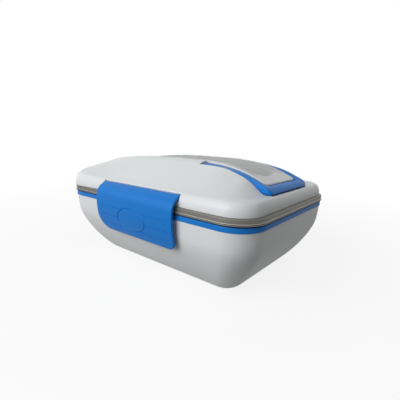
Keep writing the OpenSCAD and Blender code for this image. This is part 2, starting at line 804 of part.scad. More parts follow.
// Side view of the latch between two depths under its outer face, the inner one less near the free edge
module latch_side(skin, depth, thinning = 0) {
    steps = 22;
    zs = [for (i = [0:steps]) latch_low + (latch_z - 0.5 - latch_low) * i / steps];
    polygon(concat(
        [for (z = zs) [bow(z) - skin, z]],
        [for (i = [steps:-1:0]) [max(-roll_r, bow(zs[i]) - depth + thinning * below_bulge(zs[i])), zs[i]]]
    ));
}

module latch_outline() {
    corner = 8;
    mid = (latch_z + 3 + latch_low) / 2;
    translate([0, mid]) rounded_plan(latch_w / 2, latch_z + 3 - mid, corner);
}

// Three fine grooves across the lower half, broken by a bare oval
module latch_lines() {
    line = 0.5;
    oval_z = latch_low + 17;
    oval_x = 19;
    oval_h = 11;
    function oval(a, b) = [for (i = [0:47]) [a * cos(i * 7.5), oval_z + b * sin(i * 7.5)]];
    difference() {
        polygon(oval(oval_x, oval_h));
        polygon(oval(oval_x - line, oval_h - line));
    }
    difference() {
        for (z = [latch_low + 7.5, latch_low + 15, latch_low + 22.5])
            translate([-latch_w / 2 + 4, z]) square([latch_w - 8, line]);
        polygon(oval(oval_x + 0.1, oval_h + 0.1));
    }
}

module latch() {
    hook_z = catch_low - seat_gap;
    hook_in = catch_out + seat_gap - latch_y;
    color(trim_blue) difference() {
        union() {
            intersection() {
                translate([-latch_w / 2, latch_y, 0]) rotate([90, 0, 90]) linear_extrude(latch_w)
                    latch_side(0, latch_t, latch_thinning);
                translate([0, hy + 20, 0]) rotate([90, 0, 0]) linear_extrude(40) latch_outline();
            }
            translate([-latch_w / 2 + 4, latch_y, latch_z]) rotate([0, 90, 0])
                cylinder(r = roll_r, h = latch_w - 8, $fn = 48);
            translate([-catch_w / 2 + 2, latch_y, 0]) rotate([90, 0, 90]) linear_extrude(catch_w - 4)
                polygon([[hook_in, hook_z], [hook_in, hook_z - 1.6], [bow(hook_z - 3) - latch_t + 0.3, hook_z - 3],
                    [bow(hook_z) - latch_t + 0.3, hook_z]]);
        }
        translate([-latch_w / 2 - 1, latch_y, latch_z]) rotate([0, 90, 0])
            cylinder(r = latch_pin_r + pin_gap, h = latch_w + 2, $fn = 32);
        intersection() {
            translate([-latch_w / 2, latch_y, 0]) rotate([90, 0, 90]) linear_extrude(latch_w)
                latch_side(-1, 0.5);
            translate([0, hy + 20, 0]) rotate([90, 0, 0]) linear_extrude(40) latch_lines();
        }
    }
}

module latch_rear() {
    latch();
}

module latch_front() {
    mirror([0, 1, 0]) latch();
}

module latch_pin(side) {
    color("silver") translate([-latch_w / 2 - pin_over, side * latch_y, latch_z]) rotate([0, 90, 0])
        cylinder(r = latch_pin_r, h = latch_w + 2 * pin_over, $fn = 32);
}

module latch_pin_front() {
    latch_pin(-1);
}

module latch_pin_rear() {
    latch_pin(1);
}

/* Lid shell, with the seats of everything that it carries */

liner_top = lid_low + lid_edge + 3;
trench_end = latch_w / 2 + pin_over;
boss_x = lid_x - 28;
boss_y = lid_y - 30;
scoop_r = 13;
scoop_low = lid_low + 8.1;
lid_screw_r = 1.2;

// The moulding before its bores are drilled, brought to the lid's outline
module lid_moulding() {
    resize([2 * lid_x, 2 * lid_y, 0]) difference() {
        lid_outside();
        difference() {
            lid_hollow();
            arch_band(cover_left - 4, lid_x - 4, 20, arm_proud - arm_t - 2.7, arm_out + 2.6);
            translate([bar_in, -16, liner_top + 0.2]) cube([20, 32, 10]);
            arch_band(pivot_x - 10, pivot_x + 8, 20, -11, arm_out + 2.6, 6);
            translate([well_left - 2, -well_y - 2, well_low - 2]) cube([well_right - well_left + 4, 2 * well_y + 4, 60]);
            for (side = [-1, 1]) trench(side, trench_r + trench_wall, trench_end + trench_wall);
        }
        lid_recesses();
    }
}

module lid_recesses() {
    intersection() {
        arch_band(cover_left - 1, cover_right + 1, 20, -0.2 - cover_sheet - seat_gap, cover_y + part_gap);
        translate([0, 0, well_low]) linear_extrude(60) cover_plan(part_gap);
    }
    translate([well_left, -well_y, well_low]) cube([well_right - well_left, 2 * well_y, 60]);
    handle_u(part_gap);
    handle_channel_top();
    for (s = [-1, 1]) {
        intersection() {
            translate([pivot_x, s * (arm_in + arm_w / 2) + arm_w / 2 + part_gap, pivot_z]) rotate([90, 0, 0])
                cylinder(r = sweep_r, h = arm_w + 2 * part_gap, $fn = 32);
            translate([pivot_x - 10, -60, pivot_z - 2]) cube([12, 120, 20]);
        }
        trench(s, trench_r, latch_w / 2 + part_gap);
        translate([-latch_w / 2 - part_gap, s > 0 ? latch_y - 0.6 : -latch_y + 0.6 - 8, latch_z - trench_r])
            cube([latch_w + 2 * part_gap, 8, 12]);
    }
    translate([bar_mid, 0, scoop_low + scoop_r]) rotate([0, 90, 0]) cylinder(r = scoop_r, h = 30, $fn = 48);
}

// Round trench along a latch's pin, or the wall round it
module trench(side, r, end) {
    translate([-end, side * latch_y, latch_z]) rotate([0, 90, 0]) cylinder(r = r, h = 2 * end, $fn = 32);
}

module lid_shell() {
    color(body_white) difference() {
        union() {
            lid_moulding();
            for (sx = [-1, 0, 1], sy = [-1, 1]) translate([sx * boss_x, sy * boss_y, liner_top])
                cylinder(r = 3, h = lid_z(sx * boss_x, boss_y) - liner_top - 2.4, $fn = 32);
        }
        for (s = [-1, 1]) {
            translate([pivot_x, s * (arm_in - pin_in - 0.2) + (s > 0 ? pin_in + 1 : 0), pivot_z]) rotate([90, 0, 0])
                cylinder(r = pivot_r + pin_gap, h = pin_in + 1, $fn = 32);
            translate([-latch_w / 2 - pin_over - 0.2, s * latch_y, latch_z]) rotate([0, 90, 0])
                cylinder(r = latch_pin_r + 0.02, h = latch_w + 2 * pin_over + 0.4, $fn = 32);
        }
        for (sx = [-1, 0, 1], sy = [-1, 1])
            translate([sx * boss_x, sy * boss_y, liner_top - 1]) cylinder(r = lid_screw_r, h = 7, $fn = 24);
    }
}

// Room above the folded handle, so that it swings straight up out of its channel
module handle_channel_top() {
    intersection() {
        arch_band(pivot_x, bar_out + 4, 30, 0, arm_out + part_gap);
        translate([0, 0, well_low]) linear_extrude(80) handle_plan(part_gap);
    }
    intersection() {
        translate([pivot_x, arm_out + part_gap, pivot_z]) rotate([90, 0, 0])
            cylinder(r = bar_reach + part_gap, h = 2 * (arm_out + part_gap), $fn = 192);
        translate([0, 0, lid_low + 5]) linear_extrude(40) difference() {
            rounded_plan(bar_out + 6, arm_out + part_gap, handle_r);
            square([2 * bar_in + 2, 200], center = true);
        }
    }
}

/* Inner panel of the lid, its seal, its vent and its screws */

seal_out = 7.6;
seal_in = 12.2;
panel_low = rim_top + 2.8;
rib_low = rim_top + 0.6;
vent_x = -60;

module lid_liner() {
    outer = lid_inset + lid_wall + part_gap;
    color("whitesmoke") difference() {
        union() {
            translate([0, 0, panel_low]) linear_extrude(liner_top - panel_low) rim_plan(outer);
            rim_band(outer, seal_out - 0.2, rib_low, panel_low);
            rim_band(seal_in + 0.2, seal_in + 1.8, rib_low, panel_low);
            rim_band(pan_mouth + 2.4, pan_mouth + 4, rim_top - 3, panel_low);
        }
        for (sx = [-1, 0, 1], sy = [-1, 1]) translate([sx * boss_x, sy * boss_y, panel_low - 0.1]) {
            cylinder(r = lid_screw_r + 0.3, h = 6, $fn = 24);
            cylinder(r = 2.9, h = 1.4, $fn = 32);
        }
        translate([vent_x, 0, panel_low - 1]) cylinder(r = 4, h = 6, $fn = 32);
        for (side = [-1, 1]) trench(side, trench_r + trench_wall + 0.2, trench_end + trench_wall + 0.4);
    }
}

module lid_seal() {
    color(rubber_grey) {
        rim_band(seal_out, seal_in, rim_top + 1.2, panel_low);
        rim_band(seal_out + 0.6, seal_out + 1.8, rim_top + seal_gap, rim_top + 1.2);
        rim_band(seal_in - 1.8, seal_in - 0.6, rim_top + seal_gap, rim_top + 1.2);
    }
}

seal_gap = 0.25;

module vent_plug() {
    color(rubber_grey) translate([vent_x, 0, 0]) {
        translate([0, 0, panel_low - 1.2]) cylinder(r = 6, h = 1.2, $fn = 48);
        translate([0, 0, panel_low]) cylinder(r = 3.95, h = liner_top - panel_low, $fn = 32);
        translate([0, 0, liner_top]) cylinder(r1 = 5, r2 = 3.4, h = 1.4, $fn = 48);
    }
}

module lid_screws() {
    color("silver") for (sx = [-1, 0, 1], sy = [-1, 1]) translate([sx * boss_x, sy * boss_y, panel_low]) difference() {
        union() {
            cylinder(r = 2.6, h = 1.3, $fn = 32);
            cylinder(r = lid_screw_r - 0.03, h = 7.5, $fn = 24);
        }
        for (turn = [0, 90]) rotate([0, 0, turn]) translate([-1.6, -0.35, -0.1]) cube([3.2, 0.7, 0.9]);
    }
}

base_shell();
inner_liner();
heating_plate();
heating_element();
element_clamp();
clamp_screws();
thermostat();
thermal_fuse();
insulation_pad();
power_inlet();
inlet_pins();
indicator_lens();
wiring();
base_screws();
feet();
food_pan();
side_dish_box();
side_dish_lid();
lid_shell();
lid_liner();
lid_seal();
vent_plug();
lid_screws();
spoon_cover();
spoon();
carry_handle();
handle_pins();
latch_front();
latch_rear();
latch_pin_front();
latch_pin_rear();
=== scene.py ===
import bmesh
import bpy
import numpy as np
from mathutils import Matrix, Vector


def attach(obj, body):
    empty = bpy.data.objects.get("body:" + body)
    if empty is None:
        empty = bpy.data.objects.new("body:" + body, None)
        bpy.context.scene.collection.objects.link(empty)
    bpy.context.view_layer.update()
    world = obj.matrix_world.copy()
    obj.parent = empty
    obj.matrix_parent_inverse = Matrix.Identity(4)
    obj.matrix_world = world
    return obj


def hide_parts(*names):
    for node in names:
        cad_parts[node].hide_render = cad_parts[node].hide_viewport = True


# An electric lunch box, put together from the table up: base, heating parts, food pan, lid, spoon well,
# carry handle and latches. All lengths below are in millimetres and become metres as a mesh is made.
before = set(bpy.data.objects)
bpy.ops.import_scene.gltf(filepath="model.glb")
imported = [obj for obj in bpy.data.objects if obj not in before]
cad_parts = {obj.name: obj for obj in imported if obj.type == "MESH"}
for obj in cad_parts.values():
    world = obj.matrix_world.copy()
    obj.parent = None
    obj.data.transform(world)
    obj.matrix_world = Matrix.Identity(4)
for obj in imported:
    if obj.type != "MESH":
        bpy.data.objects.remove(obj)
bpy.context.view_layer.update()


# Base shell: a boat shaped tub moulded in glossy white polypropylene, 2.2 mm thick. A straight upper wall
# rolls into a full belly, and a square nose low on the left end carries the power inlet.
hx = 119.0
hy = 87.0
rim_r = 26.6
base_h = 64.9
foot_h = 1.2
floor_top = 3.4
shell_white = (0.775, 0.80, 0.805, 1.0)


def ease(t):
    """Smooth step: 3t^2 - 2t^3 with t held between 0 and 1."""
    t = np.clip(t, 0.0, 1.0)
    return t * t * (3 - 2 * t)


def plan_walk(long_stops, short_stops, arc=14):
    """Columns round a rounded rectangle, anticlockwise from the corner at +x +y: corner weights w and unit
    normals n, so that a ring of half sizes X, Y and corner radius r is w * (X - r, Y - r) + n * r."""
    turn = np.radians(np.linspace(0, 90, arc + 1))
    c, s, one = np.cos(turn), np.sin(turn), np.ones(arc + 1)
    long_stops = np.asarray(long_stops)
    short_stops = np.asarray(short_stops)
    flat_l, flat_s = np.ones(len(long_stops)), np.ones(len(short_stops))
    wx = np.concatenate([one, -long_stops, -one, -flat_s, -one, long_stops, one, flat_s])
    wy = np.concatenate([one, flat_l, one, -short_stops, -one, -flat_l, -one, short_stops])
    nx = np.concatenate([c, 0 * flat_l, -s, -flat_s, -c, 0 * flat_l, s, flat_s])
    ny = np.concatenate([s, flat_l, c, 0 * flat_s, -s, -flat_l, -c, 0 * flat_s])
    return wx, wy, nx, ny


def plan_ring(walk, half_x, half_y, r):
    """Plan points of a rounded rectangle: w * (half size - r) + n * r."""
    wx, wy, nx, ny = walk
    return wx * (half_x - r) + nx * r, wy * (half_y - r) + ny * r


def stack(rows):
    """Rows of (x, y, z), each a number or an array over the columns, as one grid of points."""
    width = max(np.size(v) for row in rows for v in row)
    return np.array([np.stack([np.broadcast_to(v, (width,)).astype(float) for v in row], 1) for row in rows])


def skin(name, grid, caps=True, sharp=32):
    """Closed skin over a grid of points in millimetres whose columns wrap round: quads between rows, and a
    flat face on the first and last row. The volume's sign says if the faces look outward."""
    rows, cols, _ = grid.shape
    i = np.arange(rows * cols).reshape(rows, cols)
    right = np.roll(i, -1, axis=1)
    quads = np.stack([i[:-1], right[:-1], right[1:], i[1:]], -1).reshape(-1, 4)
    faces = quads.tolist()
    if caps:
        faces += [i[0][::-1].tolist(), i[-1].tolist()]
    mesh = bpy.data.meshes.new(name)
    mesh.from_pydata((grid.reshape(-1, 3) / 1000).tolist(), [], faces)
    work = bmesh.new()
    work.from_mesh(mesh)
    bmesh.ops.remove_doubles(work, verts=work.verts, dist=2e-6)
    bmesh.ops.dissolve_degenerate(work, edges=work.edges, dist=1e-7)
    if work.calc_volume(signed=True) < 0:
        bmesh.ops.reverse_faces(work, faces=work.faces)
    work.to_mesh(mesh)
    work.free()
    mesh.shade_smooth()
    mesh.set_sharp_from_angle(angle=np.radians(sharp))
    piece = bpy.data.objects.new(name, mesh)
    bpy.context.scene.collection.objects.link(piece)
    return piece


def round_bar(name, start, end, r, steps=48):
    """Closed cylinder of radius r between two points."""
    start, end = np.array(start, float), np.array(end, float)
    axis = (end - start) / np.linalg.norm(end - start)
    side = np.cross(axis, [0.31, 0.52, 0.79])
    side /= np.linalg.norm(side)
    other = np.cross(axis, side)
    turn = np.linspace(0, 2 * np.pi, steps, endpoint=False)
    circle = r * (np.outer(np.cos(turn), side) + np.outer(np.sin(turn), other))
    return skin(name, np.array([start + circle, end + circle]))


def carve(piece, tools, how="DIFFERENCE", sharp=32):
    """Cuts closed tools out of a piece, or joins them to it, and removes the tools."""
    for tool in tools:
        cut = piece.modifiers.new("cut", "BOOLEAN")
        cut.operation = how
        cut.solver = "EXACT"
        cut.object = tool
    graph = bpy.context.evaluated_depsgraph_get()
    done = bpy.data.meshes.new_from_object(piece.evaluated_get(graph))
    piece.modifiers.clear()
    piece.data = done
    for tool in tools:
        bpy.data.objects.remove(tool)
    piece.data.shade_smooth()
    piece.data.set_sharp_from_angle(angle=np.radians(sharp))
    return piece


def soft_block(name, low, high, edge):
    """Block with rounded edges: the plan ring shrinks by edge * (1 - sin a) near its top and bottom."""
    low, high = np.array(low, float), np.array(high, float)
    half, mid = (high - low) / 2, (high + low) / 2
    walk = plan_walk([], [], 6)
    rows = []
    for a in np.radians([0, 30, 60, 90]):
        shrink = edge * (1 - np.sin(a))
        x, y = plan_ring(walk, half[0] - shrink, half[1] - shrink, max(edge - shrink, 0.02))
        rows.append((x + mid[0], y + mid[1], low[2] + edge * (1 - np.cos(a))))
    top = [(x, y, low[2] + high[2] - z) for x, y, z in rows[::-1]]
    return skin(name, stack(rows + top))


def belly_at(z):
    """Inset of the base from the steel rim: a 5 mm draft, and a belly of 31.3 mm that follows a full curve,
    1 - (1 - q^p)^(1/p) with p = 1.33, over the lower three quarters and starts softly."""
    s = (base_h - z) / base_h
    q = (s - 0.257) / 0.743
    q = np.clip((q + np.sqrt(q**2 + 0.12**2)) / 2, 0, 1)
    return 1.4 + 5 * s + 31.3 * (1 - (1 - q**1.33) ** (1 / 1.33))


def rim_ring(walk, inset, z):
    """Ring at an inset from the steel rim's outline, its corner radius less by 0.413 of the inset."""
    x, y = plan_ring(walk, hx - inset, hy - inset, rim_r - 0.413 * inset)
    return (x, y, z)


def arc_rings(walk, mid, reach, degrees):
    """Rings along an arc in section: its middle and its half sizes are pairs of inset and height."""
    return [rim_ring(walk, mid[0] + reach[0] * np.cos(a), mid[1] + reach[1] * np.sin(a))
            for a in np.radians(degrees)]


base_walk = plan_walk(np.linspace(-1, 1, 39)[1:-1], np.linspace(-1, 1, 27)[1:-1])
lip_r = 0.35
rise = np.linspace(0, 1, 46) ** 1.35
levels = foot_h + rise * (base_h - lip_r - foot_h)
rows = [rim_ring(base_walk, belly_at(foot_h) + 0.9, foot_h)]
rows += [rim_ring(base_walk, belly_at(z), z) for z in levels]
rows += arc_rings(base_walk, (belly_at(base_h) + lip_r, base_h - lip_r), (-lip_r, lip_r), [30, 60, 90])
rows += [rim_ring(base_walk, belly_at(z - 1.21) + 2.09, z)
         for z in np.interp(np.linspace(1, 0, 24) ** 1.2, [0, 1], [floor_top, base_h])]
base_shell = skin("base_shell_moulding", stack(rows))

screw_spots = [(sx * 50, sy * 30) for sx in (-1, 1) for sy in (-1, 1)]
foot_spots = [(sx * 64, sy * 34) for sx in (-1, 1) for sy in (-1, 1)]
nose_x = -(hx - float(belly_at(14.0)))
nose = soft_block("nose", (nose_x, -15.2, foot_h), (nose_x + 20, 15.2, 19.5), 1.0)
bosses = [round_bar("boss", (x, y, foot_h + 0.01), (x, y, 5.7), 6) for x, y in screw_spots]
carve(base_shell, [nose] + bosses, "UNION")
pocket = soft_block("pocket", (nose_x - 12, -13.2, 3.8), (nose_x + 25, 13.2, 18.6), 0.4)
wells = [round_bar("well", (x, y, 0), (x, y, 4.4), 3.3) for x, y in screw_spots]
shanks = [round_bar("shank", (x, y, 2), (x, y, 13.2), 1.7, steps=24) for x, y in screw_spots]
foot_beds = [round_bar("bed", (x, y, 0), (x, y, 2.0), 6.1) for x, y in foot_spots]
carve(base_shell, [pocket] + wells + shanks + foot_beds)


def node_group(name, inputs, outputs):
    """A new shader node group with plain value inputs and outputs, and its two end nodes."""
    group = bpy.data.node_groups.new(name, "ShaderNodeTree")
    for label, start in inputs:
        socket = group.interface.new_socket(label, in_out="INPUT", socket_type="NodeSocketFloat")
        socket.default_value = start
    for label in outputs:
        group.interface.new_socket(label, in_out="OUTPUT", socket_type="NodeSocketFloat")
    return group, group.nodes.new("NodeGroupInput"), group.nodes.new("NodeGroupOutput")


def math_node(tree, how, a, b=0.0, clamp=False):
    """One arithmetic step: a and b are sockets or numbers."""
    step = tree.nodes.new("ShaderNodeMath")
    step.operation = how
    step.use_clamp = clamp
    for socket, value in zip(step.inputs, (a, b)):
        if isinstance(value, (int, float)):
            socket.default_value = value
        else:
            tree.links.new(value, socket)
    return step.outputs[0]


def span(tree, value, low, high, out_low=0.0, out_high=1.0):
    """Carries a value from one range to another and holds it there."""
    step = tree.nodes.new("ShaderNodeMapRange")
    step.clamp = True
    tree.links.new(value, step.inputs["Value"])
    for label, number in (("From Min", low), ("From Max", high), ("To Min", out_low), ("To Max", out_high)):
        step.inputs[label].default_value = number
    return step.outputs["Result"]


def noise(tree, where, scale, detail=2.0, rough=0.5):
    """Noise over a position, about 1/scale metres to a grain; the scale is a socket or a number."""
    step = tree.nodes.new("ShaderNodeTexNoise")
    tree.links.new(where, step.inputs["Vector"])
    if isinstance(scale, (int, float)):
        step.inputs["Scale"].default_value = scale
    else:
        tree.links.new(scale, step.inputs["Scale"])
    step.inputs["Detail"].default_value = detail
    step.inputs["Roughness"].default_value = rough
    return step.outputs["Fac"]


# The skin that a polished mould leaves on plastic: a very shallow unevenness, and a gloss that varies slowly
mould_skin, ins, outs = node_group("mould_skin", [("Roughness", 0.2), ("Spread", 0.08), ("Grain", 700.0)],
                                   ["Roughness", "Height"])
place = mould_skin.nodes.new("ShaderNodeTexCoord").outputs["Object"]
slow = noise(mould_skin, place, 22.0, 3.0)
fine = noise(mould_skin, place, ins.outputs["Grain"], 2.0)
swing = math_node(mould_skin, "MULTIPLY", math_node(mould_skin, "SUBTRACT", slow, 0.5), ins.outputs["Spread"])
gloss = math_node(mould_skin, "ADD", swing, ins.outputs["Roughness"], clamp=True)
mould_skin.links.new(gloss, outs.inputs["Roughness"])
both = math_node(mould_skin, "ADD", math_node(mould_skin, "MULTIPLY", slow, 0.7),
                 math_node(mould_skin, "MULTIPLY", fine, 0.3))
mould_skin.links.new(both, outs.inputs["Height"])

# Marks of handling: short fine scratches in two directions and a few dull smudges, as a mask from 0 to 1
handling_marks, ins, outs = node_group("handling_marks", [("Scratches", 0.5), ("Smudges", 0.5)], ["Mask"])
place = handling_marks.nodes.new("ShaderNodeTexCoord").outputs["Object"]
strokes = []
for turn, stretch in ((0.5, (1500, 40, 60)), (-0.9, (45, 1700, 50))):
    lay = handling_marks.nodes.new("ShaderNodeMapping")
    lay.inputs["Rotation"].default_value = (0.4, 0.3, turn)
    lay.inputs["Scale"].default_value = stretch
    handling_marks.links.new(place, lay.inputs["Vector"])
    strokes.append(span(handling_marks, noise(handling_marks, lay.outputs["Vector"], 1.0, 1.0), 0.68, 0.74))
patch = span(handling_marks, noise(handling_marks, place, 60.0, 2.0), 0.52, 0.66)
lines = math_node(handling_marks, "MAXIMUM", strokes[0], strokes[1])
lines = math_node(handling_marks, "MULTIPLY", math_node(handling_marks, "MULTIPLY", lines, patch),
                  ins.outputs["Scratches"])
smudge = span(handling_marks, noise(handling_marks, place, 34.0, 4.0, 0.6), 0.58, 0.72)
smudge = math_node(handling_marks, "MULTIPLY", smudge, ins.outputs["Smudges"])
handling_marks.links.new(math_node(handling_marks, "MAXIMUM", lines, smudge, clamp=True), outs.inputs["Mask"])


def material(name, colour, rough, metallic=0.0, **others):
    """A new material with its shader's constant sockets set."""
    made = bpy.data.materials.new(name)
    made.use_nodes = True
    shader = made.node_tree.nodes["Principled BSDF"]
    shader.inputs["Base Color"].default_value = colour
    shader.inputs["Roughness"].default_value = rough
    shader.inputs["Metallic"].default_value = metallic
    for label, value in others.items():
        shader.inputs[label.replace("_", " ")].default_value = value
    return made, made.node_tree, shader


def place_group(tree, group, **values):
    """A group set into a material with its own values."""
    step = tree.nodes.new("ShaderNodeGroup")
    step.node_tree = group
    for label, value in values.items():
        step.inputs[label].default_value = value
    return step


def tint(tree, mask, first, second):
    """Colour that goes from first to second with a mask; each is a colour or a socket."""
    step = tree.nodes.new("ShaderNodeMix")
    step.data_type = "RGBA"
    tree.links.new(mask, step.inputs["Factor"])
    for socket, value in ((step.inputs["A"], first), (step.inputs["B"], second)):
        if isinstance(value, tuple):
            socket.default_value = value
        else:
            tree.links.new(value, socket)
    return step.outputs["Result"]


def emboss(tree, shader, height, depth):
    """Bump of a given depth in metres on a shader's normal."""
    step = tree.nodes.new("ShaderNodeBump")
    step.inputs["Strength"].default_value = 1.0
    step.inputs["Distance"].default_value = depth
    tree.links.new(height, step.inputs["Height"])
    tree.links.new(step.outputs["Normal"], shader.inputs["Normal"])


def moulded(name, colour, dull, rough, spread, grain, depth, scratches, smudges, **others):
    """Moulded plastic: the mould's skin, and marks of handling that dull its gloss and colour a little."""
    made, tree, shader = material(name, colour, rough, **others)
    surface = place_group(tree, mould_skin, Roughness=rough, Spread=spread, Grain=grain)
    marks = place_group(tree, handling_marks, Scratches=scratches, Smudges=smudges)
    tree.links.new(tint(tree, marks.outputs["Mask"], colour, dull), shader.inputs["Base Color"])
    rougher = math_node(tree, "MULTIPLY", marks.outputs["Mask"], 0.18)
    tree.links.new(math_node(tree, "ADD", surface.outputs["Roughness"], rougher, clamp=True),
                   shader.inputs["Roughness"])
    emboss(tree, shader, surface.outputs["Height"], depth)
    return made


white_plastic = moulded("white_plastic", shell_white, (0.68, 0.69, 0.68, 1.0), 0.30, 0.12, 900.0, 0.00005,
                        0.35, 0.25, IOR=1.33)


def dress(piece, body, slot, finish, *nodes):
    """Gives a piece its finish, its body and the CAD nodes that it stands for. The slot is not used."""
    piece.data.materials.clear()
    piece.data.materials.append(finish)
    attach(piece, body)
    if nodes:
        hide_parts(*nodes)


dress(base_shell, "base", "white_shell", white_plastic, "base_shell")


# Feet and base screws: four soft rubber buttons pressed into their beds, and four cross-headed steel screws
# that hold the liner down from below.
def paint(node, finish):
    """Gives a CAD node's own object a finish."""
    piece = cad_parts[node]
    piece.data.materials.clear()
    piece.data.materials.append(finish)


foot_rubber = moulded("foot_rubber", (0.035, 0.036, 0.038, 1.0), (0.16, 0.155, 0.145, 1.0), 0.62, 0.15,
                      2600.0, 0.00012, 0.6, 0.9)
paint("feet", foot_rubber)

# Brushed or drawn metal: fine lines along the part, a slow cloudiness, and a roughness that follows both
drawn_metal, ins, outs = node_group("drawn_metal", [("Roughness", 0.3), ("Spread", 0.2)],
                                    ["Roughness", "Height"])
place = drawn_metal.nodes.new("ShaderNodeTexCoord").outputs["Object"]
lay = drawn_metal.nodes.new("ShaderNodeMapping")
lay.inputs["Scale"].default_value = (30, 30, 5200)
drawn_metal.links.new(place, lay.inputs["Vector"])
streak = noise(drawn_metal, lay.outputs["Vector"], 1.0, 2.0)
cloud = noise(drawn_metal, place, 45.0, 3.0)
mixed = math_node(drawn_metal, "ADD", math_node(drawn_metal, "MULTIPLY", streak, 0.6),
                  math_node(drawn_metal, "MULTIPLY", cloud, 0.4))
swing = math_node(drawn_metal, "SUBTRACT", mixed, 0.5)
swing = math_node(drawn_metal, "MULTIPLY", swing, ins.outputs["Spread"])
gloss = math_node(drawn_metal, "ADD", swing, ins.outputs["Roughness"], clamp=True)
drawn_metal.links.new(gloss, outs.inputs["Roughness"])
drawn_metal.links.new(streak, outs.inputs["Height"])


def metal(name, colour, stain, rough, spread, depth=0.00002, smudges=0.4):
    """Bare metal: drawn lines in its gloss and relief, and a faint stain where it was handled."""
    made, tree, shader = material(name, colour, rough, 1.0)
    surface = place_group(tree, drawn_metal, Roughness=rough, Spread=spread)
    marks = place_group(tree, handling_marks, Scratches=0.4, Smudges=smudges)
    tree.links.new(tint(tree, marks.outputs["Mask"], colour, stain), shader.inputs["Base Color"])
    tree.links.new(surface.outputs["Roughness"], shader.inputs["Roughness"])
    emboss(tree, shader, surface.outputs["Height"], depth)
    return made


screw_steel = metal("screw_steel", (0.50, 0.50, 0.49, 1.0), (0.34, 0.33, 0.31, 1.0), 0.34, 0.2)
paint("base_screws", screw_steel)


# Inner liner: a blue polypropylene tub that hangs on the base's edge. Its flange shows as the blue band under
# the steel rim, and a catch rib on each long side holds a latch.
band_top = 69.2
liner_floor = 21.6
trim_colour = (0.006, 0.190, 0.620, 1.0)

rib_half = 30.0
rib_stops = np.array([-rib_half - 0.05, -rib_half + 0.05, rib_half - 0.05, rib_half + 0.05]) / (hx - rim_r)
long_stops = np.sort(np.concatenate([np.linspace(-1, 1, 39)[1:-1], rib_stops]))
liner_walk = plan_walk(long_stops, np.linspace(-1, 1, 27)[1:-1])


def liner_at(z):
    """Inset of the liner's inner wall, straight from 13.5 mm at its mouth to 22.2 mm near its floor."""
    return 13.5 + 8.7 * (band_top - z) / (band_top - liner_floor - 3)


def ribbed(ring):
    """Pushes a ring out to the catch rib's face on the two long sides, between x = -30 and 30 mm."""
    x, y, z = ring
    out = (np.abs(x) < rib_half) & (np.abs(y) > 80)
    return (x, np.where(out, np.sign(y) * 87.5, y), z)


lip = float(belly_at(base_h - 1.21) + 2.09) + 0.4
section = [(27.7, 19.6), (25.2, 19.9), (24.2, 20.4), (20.5, 24.0)]
section += [(20.5 - 9.0 * t, 24.0 + 42.8 * t) for t in np.linspace(0.1, 1, 9)]
section += [(lip + 1.6, 66.8), (lip + 1.6, 62.4), (lip, 62.4), (lip, 64.9)]
section += [(1.2, 64.9), (1.0, 65.1), (1.0, 65.2)]
rows = [rim_ring(liner_walk, inset, z) for inset, z in section]
rows += [ribbed(rim_ring(liner_walk, 1.0, z)) for z in (65.25, 67.95)]
rows += [rim_ring(liner_walk, 1.0, 68.0)]
rows += arc_rings(liner_walk, (1.6, band_top - 0.6), (-0.6, 0.6), [0, 30, 60, 90])
rows += arc_rings(liner_walk, (12.9, band_top - 0.8), (0.8, 0.8), [90, 60, 30])
rows += [rim_ring(liner_walk, liner_at(z), z) for z in np.linspace(68.2, 24.6, 12)]
rows += arc_rings(liner_walk, (22.2, liner_floor), (5.5, 3.0), [70, 50, 30, 15, 0])
inner_liner = skin("inner_liner_moulding", stack(rows))
posts = [round_bar("post", (x, y, 5.8), (x, y, 20.0), 3.6) for x, y in screw_spots]
carve(inner_liner, posts, "UNION")
hole = round_bar("hole", (0, 0, 15), (0, 0, 26), 44, steps=96)
pilots = [round_bar("pilot", (x, y, 3), (x, y, 14.5), 1.4, steps=24) for x, y in screw_spots]
carve(inner_liner, [hole] + pilots)

blue_plastic = moulded("blue_plastic", trim_colour, (0.028, 0.205, 0.580, 1.0), 0.42, 0.10, 1500.0, 0.00006,
                       0.45, 0.35, IOR=1.30)
dress(inner_liner, "base", "blue_trim", blue_plastic, "inner_liner")


# Heating parts under the liner's floor: a cast plate that the pan stands on, a flat element strapped against
# it, a thermostat cup in the middle, a ceramic fuse, and an insulating felt on the base's floor.
plate_alloy = metal("plate_alloy", (0.58, 0.58, 0.57, 1.0), (0.40, 0.38, 0.35, 1.0), 0.42, 0.2, 0.00005, 0.7)
paint("heating_plate", plate_alloy)

mica_sheet, tree, shader = material("mica_sheet", (0.19, 0.165, 0.13, 1.0), 0.45)
place = tree.nodes.new("ShaderNodeTexCoord").outputs["Object"]
flakes = tree.nodes.new("ShaderNodeTexVoronoi")
flakes.inputs["Scale"].default_value = 420.0
tree.links.new(place, flakes.inputs["Vector"])
flake = span(tree, flakes.outputs["Distance"], 0.05, 0.75)
layered = tint(tree, flake, (0.26, 0.22, 0.16, 1.0), (0.12, 0.10, 0.08, 1.0))
tree.links.new(layered, shader.inputs["Base Color"])
tree.links.new(span(tree, flake, 0.0, 1.0, 0.28, 0.6), shader.inputs["Roughness"])
emboss(tree, shader, flake, 0.00006)
paint("heating_element", mica_sheet)

strap_steel = metal("strap_steel", (0.46, 0.46, 0.45, 1.0), (0.36, 0.30, 0.22, 1.0), 0.38, 0.25)
paint("element_clamp", strap_steel)
paint("clamp_screws", screw_steel)
paint("thermostat", strap_steel)

